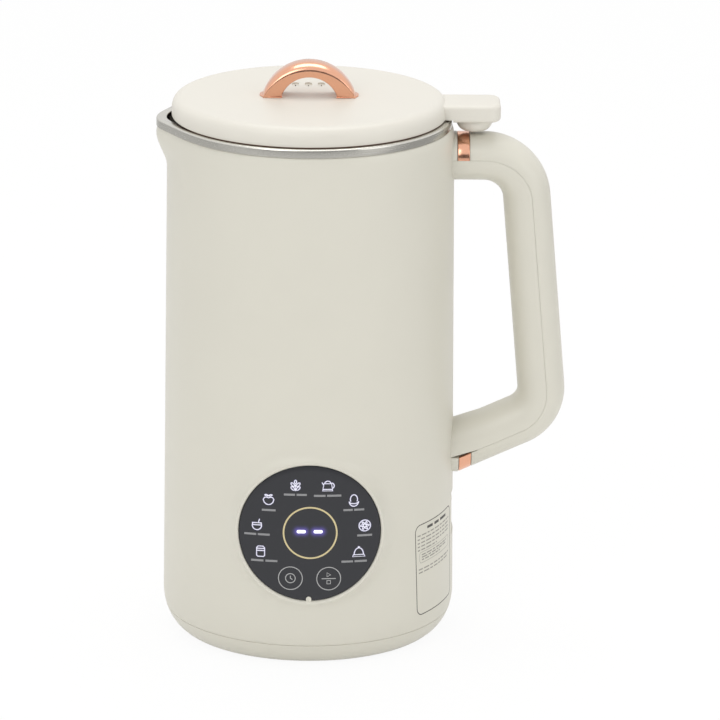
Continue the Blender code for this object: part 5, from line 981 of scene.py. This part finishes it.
def make_lid_seal(material):
    """The rubber ring that rests on the jug's rim, with two wiping lips inside the mouth."""
    low, high = span("lid_seal", 2)
    neck = 0.0573
    root, tip = neck + 0.0008, neck + 0.0017
    profile = [(neck, low), (neck + 0.0006, low)]
    for lip_z in (low + 0.0010, low + 0.0024):
        profile += [(root, lip_z - 0.0004), (tip, lip_z), (tip, lip_z + 0.00015), (root, lip_z + 0.0004)]
    under = RIM_TOP_Z + 0.00004
    profile += [(neck + 0.0010, under), (0.0615, under)]
    profile += corner_arc((0.0615, (under + LID_BOTTOM_Z) / 2.0), 0.00028, -70.0, 70.0, 4)
    profile += [(0.0599, LID_BOTTOM_Z - 0.00004), (0.0599, high), (neck, high)]
    finish(turned("lid_gasket", profile, centre=(LID_X, 0.0)), "lid", "dark_rubber", material, "lid_seal")


def make_boss(material):
    """The bowl under the lid's tab, with a thin step under its flange."""
    low, high = span("lid_boss", 2)
    low += 0.0009
    left, right = span("lid_boss", 0)
    top_radius = 0.0087
    foot_radius = 0.0030
    flange = high - 0.0010
    profile = [(0.0, low), (foot_radius * 0.6, low)]
    for turn in turns(0.0, 90.0, 11):
        radius = foot_radius + (top_radius - 0.0004 - foot_radius) * math.sin(turn) ** 0.8
        profile.append((radius, flange - (flange - low) * math.cos(turn) ** 1.1))
    profile += [(top_radius - 0.0001, flange), (top_radius, flange + 0.0001), (top_radius, high), (0.0, high)]
    boss = turned("boss_bowl", profile, 96, ((left + right) / 2.0 - 0.0002, 0.0))
    finish(boss, "lid", "lid_cream_plastic", material, "lid_boss")


def arch_point(half_span, apex_z, foot_z, share):
    """A place (x, z) on the arc over the lid, from its left foot (-1) to its right foot (1)."""
    rise = apex_z - foot_z
    radius = (half_span**2 + rise**2) / (2.0 * rise)
    swing = math.asin(min(1.0, half_span / radius))
    if rise > half_span:
        swing = math.pi - swing
    return ARCH_X + radius * math.sin(swing * share), apex_z - radius + radius * math.cos(swing * share)


def make_arch(material):
    """The arch: a flat front face under a crisp edge, from which a rounded band runs back over the top."""
    half_depth = span("lid_arch", 1)[1]
    apex_z = span("lid_arch", 2)[1] + 0.0003
    foot_z = LID_TOP_Z + 0.00004
    crown_y = -0.0012
    ridge_y = 0.0034
    steps = 72
    rings = []
    for step in range(steps + 1):
        share = 2.0 * step / steps - 1.0
        outer = arch_point(0.0213, apex_z, foot_z, share)
        crease = arch_point(0.0209, 0.2637, foot_z, share)
        inner = arch_point(0.0128, 0.2608, foot_z, share)
        section = []
        for turn in turns(0.0, 90.0, 12):
            section.append((mixed(crease, outer, math.sin(turn)), crown_y - (crown_y + half_depth) * math.cos(turn)))
        section.append((mixed(outer, inner, 0.012), (crown_y + ridge_y) / 2.0))
        section.append((mixed(outer, inner, 0.035), ridge_y))
        section.append((mixed(outer, inner, 0.075), half_depth - 0.0004))
        section.append((mixed(outer, inner, 0.09), half_depth - 0.0001))
        section += [(mixed(outer, inner, 0.12), half_depth), (mixed(outer, inner, 0.95), half_depth)]
        section += [(inner, half_depth - 0.0004), (inner, 0.0009 - half_depth)]
        section += [(mixed(inner, crease, 0.04), 0.0006 - half_depth), (mixed(inner, crease, 0.97), -half_depth)]
        rings.append([(x, y, z) for (x, z), y in section])
    arch = lofted("arch_grip", rings)
    finish(arch, "lid", "rose_gold", material, "lid_arch", smooth=24.0)
    flanges = []

    def outer_upright(start, end):
        return abs(start.z - end.z) > 0.0001 and abs(start.x - ARCH_X) > 0.02

    for side in (-1.0, 1.0):
        near, far = sorted((ARCH_X + side * 0.0122, ARCH_X + side * 0.0224))
        flange = block("flange", (near, -0.0064, foot_z - 0.00002), (far, 0.0064, foot_z + 0.0005))
        bevelled(flange, 0.0055, 12, outer_upright)
        rounded(flange, 0.0002, 50.0, 3)
        flanges.append(flange)
    finish(joined("arch_flanges", flanges), "lid", "rose_gold", material)


# Control panel


def make_lens(material):
    edge = 0.0003
    rings = [lens_ring((LENS_RADIUS - edge) * step / 12.0, LENS_SUNK) for step in range(13)]
    for turn in turns(30.0, 90.0, 2):
        back = LENS_SUNK + edge * (1.0 - math.cos(turn))
        rings.append(lens_ring(LENS_RADIUS - edge * (1.0 - math.sin(turn)), back))
    rings += [lens_ring(LENS_RADIUS, LENS_THICKNESS), lens_ring(0.0, LENS_THICKNESS)]
    lens = lofted("panel_glass", rings, capped=False)
    finish(lens, "body", "smoked_lens", material, "panel_lens")


# Signs


def on_lens(x, z, lift):
    """A place on the lens, given from its centre, and how far it stands out."""
    return Vector((PANEL_X + x, lens_y(x, LENS_SUNK - lift), PANEL_Z + z))


def on_label(along, z, lift):
    """A place on the housing, given along the slightly turned label from its near edge, and its lift."""
    along, z = along - (z - 0.0405) * 0.04, z + (along - 0.0180) * 0.035 - 0.0005
    angle = math.radians(47.5) + along / housing_radius(0.0400)
    radius = housing_radius(z) + lift
    return Vector((radius * math.sin(angle), -radius * math.cos(angle), z))


def plate(name, outline, lift, thickness):
    """A flat shape laid on the lens."""
    return lofted(name, [[on_lens(x, z, height) for x, z in outline] for height in (lift - thickness, lift)])


def printed(name, strokes, width, place, slot, material, flatness=0.2):
    """Drawn lines in millimetres, as (points, closed): curves with a round section, pressed flat."""
    curve = bpy.data.curves.new(name, "CURVE")
    curve.dimensions = "3D"
    curve.bevel_depth = width / 2.0
    curve.bevel_resolution = 1
    curve.use_fill_caps = True
    for points, closed in strokes:
        spline = curve.splines.new("POLY")
        spline.points.add(len(points) - 1)
        for point, (across, up) in zip(spline.points, points):
            point.co = (across / 1000.0, 0.0, up / 1000.0, 1.0)
        spline.use_cyclic_u = closed
    piece = bpy.data.objects.new(name, curve)
    bpy.context.scene.collection.objects.link(piece)
    pick(piece)
    bpy.ops.object.convert(target="MESH")
    piece = bpy.context.object
    for vert in piece.data.vertices:
        vert.co = place(vert.co.x, vert.co.z, -vert.co.y * flatness)
    face_out(piece)
    finish(piece, "body", slot, material)


def line(*points):
    return points, False


def loop(points):
    return points, True


def oval(x, z, width, height, first=0.0, last=360.0, steps=20, tilt=0.0):
    """Points round an oval or part of one, in millimetres. A whole one isn't given its first point twice."""
    points = []
    lean = math.radians(tilt)
    for turn in turns(first, last, steps)[: steps if last - first >= 360.0 else None]:
        across, up = width * math.cos(turn), height * math.sin(turn)
        side = x + across * math.cos(lean) - up * math.sin(lean)
        points.append((side, z + across * math.sin(lean) + up * math.cos(lean)))
    return points


def grain_sign():
    strokes = [line((0.0, -2.5), (0.0, 0.6)), loop(oval(0.0, 1.8, 0.5, 0.8, steps=12))]
    for z in (-1.3, 0.5):
        for side in (-1.0, 1.0):
            strokes.append(loop(oval(side * 1.2, z, 1.1, 0.55, steps=12, tilt=side * 45.0)))
    return strokes


def kettle_sign():
    body = [(-2.3, -2.4), (2.2, -2.4), (1.7, 1.0), (-1.7, 1.0)]
    handle = oval(1.7, 0.0, 1.2, 1.3, -80.0, 90.0, 10)
    top = oval(0.0, 1.0, 1.4, 1.2, 0.0, 180.0, 12)
    spout = line((-1.8, 0.3), (-2.6, 1.6))
    return [loop(body), line(*top), line(*handle), spout, line((-2.2, -1.7), (2.1, -1.7))]


def apple_sign():
    half = [(0.8, 1.2), (1.8, 1.1), (2.4, 0.1), (1.9, -1.3), (0.9, -2.1)]
    body = [(0.0, 0.9)] + half + [(0.0, -2.3)] + [(-x, z) for x, z in reversed(half)]
    return [loop(body)] + [loop(oval(side * 0.9, 2.1, 0.8, 0.3, steps=10, tilt=side * 15.0)) for side in (-1.0, 1.0)]


def nut_sign():
    cups = [line(*oval(0.0, -0.3, 2.1, height, 180.0, 360.0)) for height in (2.3, 1.1)]
    return [line(*oval(0.0, 0.7, 1.6, 2.1, -30.0, 210.0))] + cups


def bowl_sign():
    bowl = line(*oval(0.0, -0.4, 2.1, 2.1, -215.0, 35.0))
    return [bowl, line((-2.2, 0.8), (2.2, 0.8)), line((0.6, 0.8), (1.2, 2.7)), line((-2.1, -0.2), (2.1, -0.2))]


def fan_sign():
    strokes = [loop(oval(0.0, 0.0, 2.6, 2.6, steps=28))]
    for tilt in range(0, 360, 60):
        x, z = 1.3 * math.cos(math.radians(tilt)), 1.3 * math.sin(math.radians(tilt))
        strokes.append(loop(oval(x, z, 0.8, 0.35, steps=10, tilt=tilt + 20.0)))
    return strokes


def jar_sign():
    half = [(1.3, -2.6), (1.8, -2.1), (1.8, 1.5), (1.1, 2.3)]
    body = [(-1.3, -2.6)] + half + [(-x, z) for x, z in reversed(half[1:])]
    return [loop(body), line((-1.7, 0.2), (1.7, 0.2)), line((-1.7, 1.2), (1.7, 1.2))]


def dome_sign():
    base = [(-2.8, -2.4), (2.8, -2.4), (2.4, -1.5), (-2.4, -1.5)]
    knob = oval(0.0, 2.0, 0.3, 0.3, steps=8)
    return [loop(base), line(*oval(0.0, -1.5, 2.1, 3.2, 0.0, 180.0)), loop(knob)]


def clock_sign():
    return [loop(oval(0.0, 0.0, 2.2, 2.2)), line((0.0, 1.2), (0.0, 0.0), (0.9, -0.6))]


def start_sign():
    triangle = [(-0.8, 0.8), (0.9, 1.8), (-0.8, 2.8)]
    square = [(-0.8, -2.5), (0.8, -2.5), (0.8, -0.9), (-0.8, -0.9)]
    return [loop(triangle), line(*[(step * 0.8 - 3.2, 0.0) for step in range(9)]), loop(square)]


# Signs with their places from the lens's centre, and bars with their places and widths, in millimetres
PROGRAM_SIGNS = (
    (grain_sign, -6.5, 22.6), (kettle_sign, 8.0, 22.6), (apple_sign, -18.6, 15.5), (nut_sign, 19.8, 15.2),
    (bowl_sign, -23.8, 3.5), (fan_sign, 24.8, 3.2), (jar_sign, -22.1, -9.0), (dome_sign, 22.2, -9.0),
)
BUTTON_SIGNS = ((clock_sign, -8.6, -21.4), (start_sign, 8.7, -21.5))
CAPTION_BARS = (
    (-9.2, 18.3, 5.0), (-3.7, 18.3, 4.6), (4.4, 17.9, 5.2), (10.9, 17.9, 6.4), (-18.5, 10.6, 6.2),
    (17.2, 10.9, 4.2), (22.2, 10.9, 4.6), (-26.8, -1.1, 5.4), (-20.7, -1.1, 5.4), (24.8, -1.4, 6.7),
    (-23.6, -13.5, 5.6), (-17.2, -13.5, 5.4), (17.0, -13.6, 5.2), (23.1, -13.6, 5.6),
)


def moved(strokes, x, z):
    return [([(a + x, b + z) for a, b in points], closed) for points, closed in strokes]


def make_signs():
    """Plain program signs, buttons and lit dashes. Bars stand where the captions would be."""
    bright = lit(ink("sign_white", srgb(226, 226, 236)), srgb(200, 196, 235), 0.12)
    strokes = []
    for sign, x, z in PROGRAM_SIGNS:
        strokes += moved(sign(), x, z)
    printed("program_signs", strokes, 0.00048, on_lens, "white_plastic", bright)
    printed("sign_fringe", strokes, 0.00085, on_lens, "smoked_lens", ink("sign_violet", srgb(78, 72, 122)), 0.06)
    strokes = []
    for sign, x, z in BUTTON_SIGNS:
        strokes += moved(sign() + [loop(oval(0.0, 0.0, 5.4, 5.4, steps=48))], x, z)
    printed("button_signs", strokes, 0.00042, on_lens, "white_plastic", ink("sign_grey", srgb(172, 172, 172)))
    bars = []
    for x, z, width in CAPTION_BARS:
        bars += moved([line(*[(width * (step / 10.0 - 0.5), 0.0) for step in range(11)])], x, z)
    printed("caption_bars", bars, 0.0011, on_lens, "white_plastic", ink("sign_dim", srgb(138, 138, 140)), 0.06)
    ring = moved([loop(oval(0.0, 0.0, 12.0, 12.0, steps=120))], 0.2, 0.3)
    printed("dial_ring", ring, 0.00085, on_lens, "brass", ink("dial_gold", srgb(205, 190, 145), 0.35), 0.3)
    dashes = []
    for x in (-3.8, 3.8):
        outline = oval(x + 1.3, 0.9, 0.75, 0.75, -90.0, 90.0, 10) + oval(x - 1.3, 0.9, 0.75, 0.75, 90.0, 270.0, 10)
        dashes.append(plate("dash", [(a / 1000.0, b / 1000.0) for a, b in outline], 0.00006, 0.0002))
    white = lit(ink("lit_white", srgb(235, 235, 245)), (1.0, 1.0, 1.0, 1.0), 0.7)
    finish(joined("lit_dashes", dashes), "body", "white_plastic", white)


def divided(outline):
    """A closed outline with more points on its straight sides, so that they follow the housing."""
    points = []
    for first, second in zip(outline, outline[1:] + outline[:1]):
        pieces = max(1, int(math.dist(first, second) / 2.0))
        points += [mixed(first, second, step / pieces) for step in range(pieces)]
    return points


# Height, start and end of each ruled line on the label, in millimetres
LABEL_RULES = (
    (56.9, 1.4, 32.0), (55.1, 1.4, 31.0), (53.3, 1.4, 32.0), (51.6, 1.4, 31.0), (49.9, 1.4, 17.0),
    (47.4, 4.2, 28.0), (46.2, 4.2, 27.0), (45.0, 4.2, 20.0), (40.6, 1.8, 31.0), (39.0, 1.8, 29.0),
)


def make_label():
    """A plain printed frame on the housing's side, with ruled lines and no words."""
    dark = ink("label_dark", srgb(66, 63, 58))
    pale = ink("label_pale", srgb(146, 143, 135))
    outer = loop(divided(rounded_outline((0.0, 18.7), (34.8, 62.0), 3.4)))
    printed("label_frame", [outer], 0.00045, on_label, "black_plastic", dark)
    rules = []
    for z, first, last in LABEL_RULES:
        place = first
        for step in range(12):
            word = min(1.6 + 2.6 * ((step * 7 + round(z * 3.0)) % 5) / 4.0, last - place)
            if word > 0.8:
                rules.append(line(*[(place + word * part / 3.0, z) for part in range(4)]))
            place += word + 0.9
    printed("label_rules", rules, 0.0007, on_label, "black_plastic", pale, 0.06)
    inner = loop(divided(rounded_outline((2.6, 43.6), (31.0, 48.7), 1.2)))
    printed("label_inner_frame", [inner], 0.00024, on_label, "black_plastic", pale)
    heading = []
    for first, last in ((8.8, 13.4), (15.0, 19.2), (20.8, 27.5)):
        heading.append(line(*[(first + (last - first) * step / 3.0, 59.5) for step in range(4)]))
    printed("label_heading", heading, 0.0015, on_label, "black_plastic", dark, 0.04)


# Camera, light and floor


def add_camera():
    """The camera fitted to the photograph's outline."""
    pitch = 0.2936006
    yaw = 0.0103215
    roll = 0.0090170
    forward = Vector((math.sin(yaw) * math.cos(pitch), math.cos(yaw) * math.cos(pitch), -math.sin(pitch)))
    right = Vector((math.cos(yaw), -math.sin(yaw), 0.0))
    up = right.cross(forward)
    turned_right = right * math.cos(roll) + up * math.sin(roll)
    turned_up = up * math.cos(roll) - right * math.sin(roll)
    data = bpy.data.cameras.new("camera")
    data.sensor_width = 36.0
    data.lens = 256.028
    data.clip_end = 20.0
    camera = bpy.data.objects.new("camera", data)
    bpy.context.scene.collection.objects.link(camera)
    place = AXIS + Vector((-0.0000013, -2.2516696, 0.8071122))
    axes = (turned_right, turned_up, -forward, place)
    camera.matrix_world = Matrix([[axis[i] for axis in axes] for i in range(3)] + [[0.0, 0.0, 0.0, 1.0]])
    bpy.context.scene.camera = camera


def add_lamp(name, place, size, power):
    data = bpy.data.lights.new(name, "AREA")
    data.shape = "RECTANGLE"
    data.size, data.size_y = size
    data.energy = power
    lamp = bpy.data.objects.new(name, data)
    bpy.context.scene.collection.objects.link(lamp)
    lamp.location = place
    lamp.rotation_euler = (LAMP_TARGET - Vector(place)).to_track_quat("-Z", "Y").to_euler()


def glow(tree, strength):
    return node(tree, "ShaderNodeEmission", {"Color": (1.0, 1.0, 1.0, 1.0), "Strength": strength}).outputs[0]


def put_out(tree, shader):
    tree.links.new(shader, tree.nodes["Material Output"].inputs["Surface"])


def add_card(name, low, high, strength):
    """A grey card that only shiny surfaces see, so that metal has something to reflect."""
    card = block(name, AXIS + Vector(low), AXIS + Vector(high))
    material, tree, _ = new_material(name)
    put_out(tree, glow(tree, strength))
    card.data.materials.append(material)
    card.visible_camera = False
    card.visible_diffuse = False
    card.visible_shadow = False
    card.visible_transmission = False


def shown_white(tree):
    """1 on rays from the camera, a mirror or clear glass, which see the plain backdrop."""
    path = node(tree, "ShaderNodeLightPath", {})
    seen = maths(tree, "MAXIMUM", path.outputs["Is Camera Ray"], path.outputs["Is Glossy Ray"])
    return maths(tree, "MAXIMUM", seen, path.outputs["Is Transmission Ray"])


def add_studio():
    world = bpy.data.worlds.new("studio")
    bpy.context.scene.world = world
    world.use_nodes = True
    tree = world.node_tree
    background = tree.nodes["Background"]
    background.inputs["Color"].default_value = (1.0, 1.0, 1.0, 1.0)
    seen = shown_white(tree)
    strength = maths(tree, "ADD", maths(tree, "MULTIPLY", seen, 1.0 - AMBIENT), AMBIENT)
    tree.links.new(strength, background.inputs["Strength"])

    deselect()
    bpy.ops.mesh.primitive_plane_add(size=6.0)
    floor = bpy.context.object
    floor.name = "floor"
    material, tree, shader = new_material("pale_floor")
    shader.inputs["Base Color"].default_value = (0.93, 0.93, 0.92, 1.0)
    shader.inputs["Roughness"].default_value = 0.9
    shader.inputs["Specular IOR Level"].default_value = 0.1
    share = maths(tree, "MULTIPLY", shown_white(tree), 0.92)
    put_out(tree, node(tree, "ShaderNodeMixShader", {0: share, 1: shader.outputs[0], 2: glow(tree, 1.0)}).outputs[0])
    floor.data.materials.append(material)

    add_lamp("key", (-0.9, -1.5, 1.3), (1.1, 1.1), 8.2)
    add_lamp("fill", (1.5, -1.1, 0.7), (1.0, 1.2), 3.8)
    add_lamp("top", (0.0, 0.3, 1.7), (1.2, 0.9), 8.6)
    add_card("front_card", (-3.2, -3.25, 0.0), (3.2, -3.2, 1.4), 0.12)
    add_card("left_card", (-3.25, -3.2, 0.0), (-3.2, 2.4, 0.5), 0.3)
    add_card("right_card", (3.2, -3.2, 0.0), (3.25, 2.4, 0.5), 0.25)
    add_card("back_card", (-3.2, 2.5, 0.0), (3.2, 2.55, 1.1), 0.85)
    add_card("near_floor_card", (-3.2, -3.2, 0.001), (3.2, -0.5, 0.003), 0.72)
    add_card("left_floor_card", (-3.2, -0.5, 0.001), (-0.5, 2.4, 0.003), 0.6)
    add_card("right_floor_card", (0.5, -0.5, 0.001), (3.2, 2.4, 0.003), 0.45)


def dress_nodes(materials):
    """Gives every CAD node that still shows the finish of its slot."""
    for row in frame["record"]["subparts"]:
        slots = frame["nodes"][row["node"]].data.materials
        for i in range(len(slots)):
            slots[i] = materials[row["material_slot"]]


# New piece, the CAD node it replaces, its body, and how wide its edges are softened
SOFTENED = (
    ("cover_plate", "lid_inner_cover", "lid", 0.0004),
    ("low_cutter", "lower_blade", "rotor", 0.0002),
    ("high_cutter", "upper_blade", "rotor", 0.0002),
    ("cutter_nut", "blade_nut", "rotor", 0.0003),
    ("shaft_gasket", "shaft_seal", "body", 0.0004),
    ("heat_probe", "temperature_probe", "body", 0.0004),
    ("level_probe", "overflow_probe", "body", 0.0004),
    ("underside_screw_1", "base_screw_1", "body", 0.0002),
    ("underside_screw_2", "base_screw_2", "body", 0.0002),
    ("underside_screw_3", "base_screw_3", "body", 0.0002),
)


def make_softened(materials):
    """Smooth copies, with their edges softened, of the plain pieces that show inside and from below."""
    slots = {row["node"]: row["material_slot"] for row in frame["record"]["subparts"]}
    for name, replaced, body, width in SOFTENED:
        piece = copied(name, replaced)
        rounded(piece, width, 35.0, 2)
        slot = slots[replaced]
        finish(piece, body, slot, materials[slot], replaced)


def lens_finish():
    """Smoked glass with a violet glow round the two lit dashes."""
    made = moulded("smoked_lens", srgb(34, 35, 40), 0.2, grain=300.0, mottle=0.02, depth=0.0)
    tree = made.node_tree
    shader = tree.nodes["Principled BSDF"]
    x, _, z = split_place(tree, object_place(tree))
    across = maths(tree, "ABSOLUTE", maths(tree, "SUBTRACT", x, AXIS.x + PANEL_X))
    across = maths(tree, "ABSOLUTE", maths(tree, "SUBTRACT", across, 0.0038))
    across = maths(tree, "MAXIMUM", maths(tree, "SUBTRACT", across, 0.0014), 0.0)
    away = length(tree, across, maths(tree, "SUBTRACT", z, PANEL_Z + 0.0009))
    near = maths(tree, "MAXIMUM", maths(tree, "SUBTRACT", 1.0, maths(tree, "DIVIDE", away, 0.0040)), 0.0)
    violet = scaled_colour(tree, srgb(140, 120, 255)[:3], maths(tree, "POWER", near, 3.0))
    tree.links.new(violet, shader.inputs["Emission Color"])
    shader.inputs["Emission Strength"].default_value = 0.8
    return made


def main():
    bpy.context.scene.view_settings.view_transform = "Standard"
    centre = (AXIS.x, AXIS.y, 0.0)
    arch_centre = (AXIS.x, AXIS.y, LID_TOP_Z - 0.008)
    finishes = {
        "cream_plastic": (moulded, srgb(209, 206, 194), 0.42),
        "lid_cream_plastic": (moulded, srgb(217, 213, 203), 0.42),
        "brushed_steel": (brushed, (0.63, 0.615, 0.565, 1.0), 0.24, centre, 0.0, 0.05, 0.000003),
        "rose_gold": (brushed, (0.82, 0.435, 0.29, 1.0), 0.2, arch_centre, 1.0, 0.12),
        "dark_rubber": (moulded, srgb(78, 54, 44), 0.6),
        "black_plastic": (moulded, srgb(36, 36, 38), 0.45),
        "white_plastic": (moulded, srgb(226, 225, 220), 0.45),
        "circuit_board": (moulded, srgb(32, 84, 52), 0.5),
        "copper_winding": (brushed, (0.62, 0.28, 0.13, 1.0), 0.4, centre),
        "laminated_iron": (brushed, (0.32, 0.32, 0.33, 1.0), 0.5, centre),
        "brass": (brushed, (0.72, 0.55, 0.25, 1.0), 0.35, centre),
        "cast_aluminium": (moulded, (0.6, 0.6, 0.61, 1.0), 0.45, 500.0, 0.1, 0.00005),
        "plated_steel": (brushed, (0.65, 0.65, 0.66, 1.0), 0.25, centre),
    }
    materials = {name: make(name, *values) for name, (make, *values) in finishes.items()}
    materials["smoked_lens"] = lens_finish()
    cream = materials["cream_plastic"]
    lid_cream = materials["lid_cream_plastic"]
    gold = materials["rose_gold"]
    dress_nodes(materials)
    add_camera()
    add_studio()
    make_housing(cream)
    make_collar(cream)
    make_base(cream)
    make_feet(materials["dark_rubber"])
    make_jug(materials["brushed_steel"])
    make_inlet(cream, materials["black_plastic"], materials["plated_steel"])
    make_handle(cream, gold)
    make_lid_shell(lid_cream)
    make_lid_seal(moulded("seal_rubber", srgb(106, 78, 66), 0.6))
    make_boss(lid_cream)
    make_arch(gold)
    make_lens(materials["smoked_lens"])
    make_signs()
    make_label()
    make_softened(materials)


main()
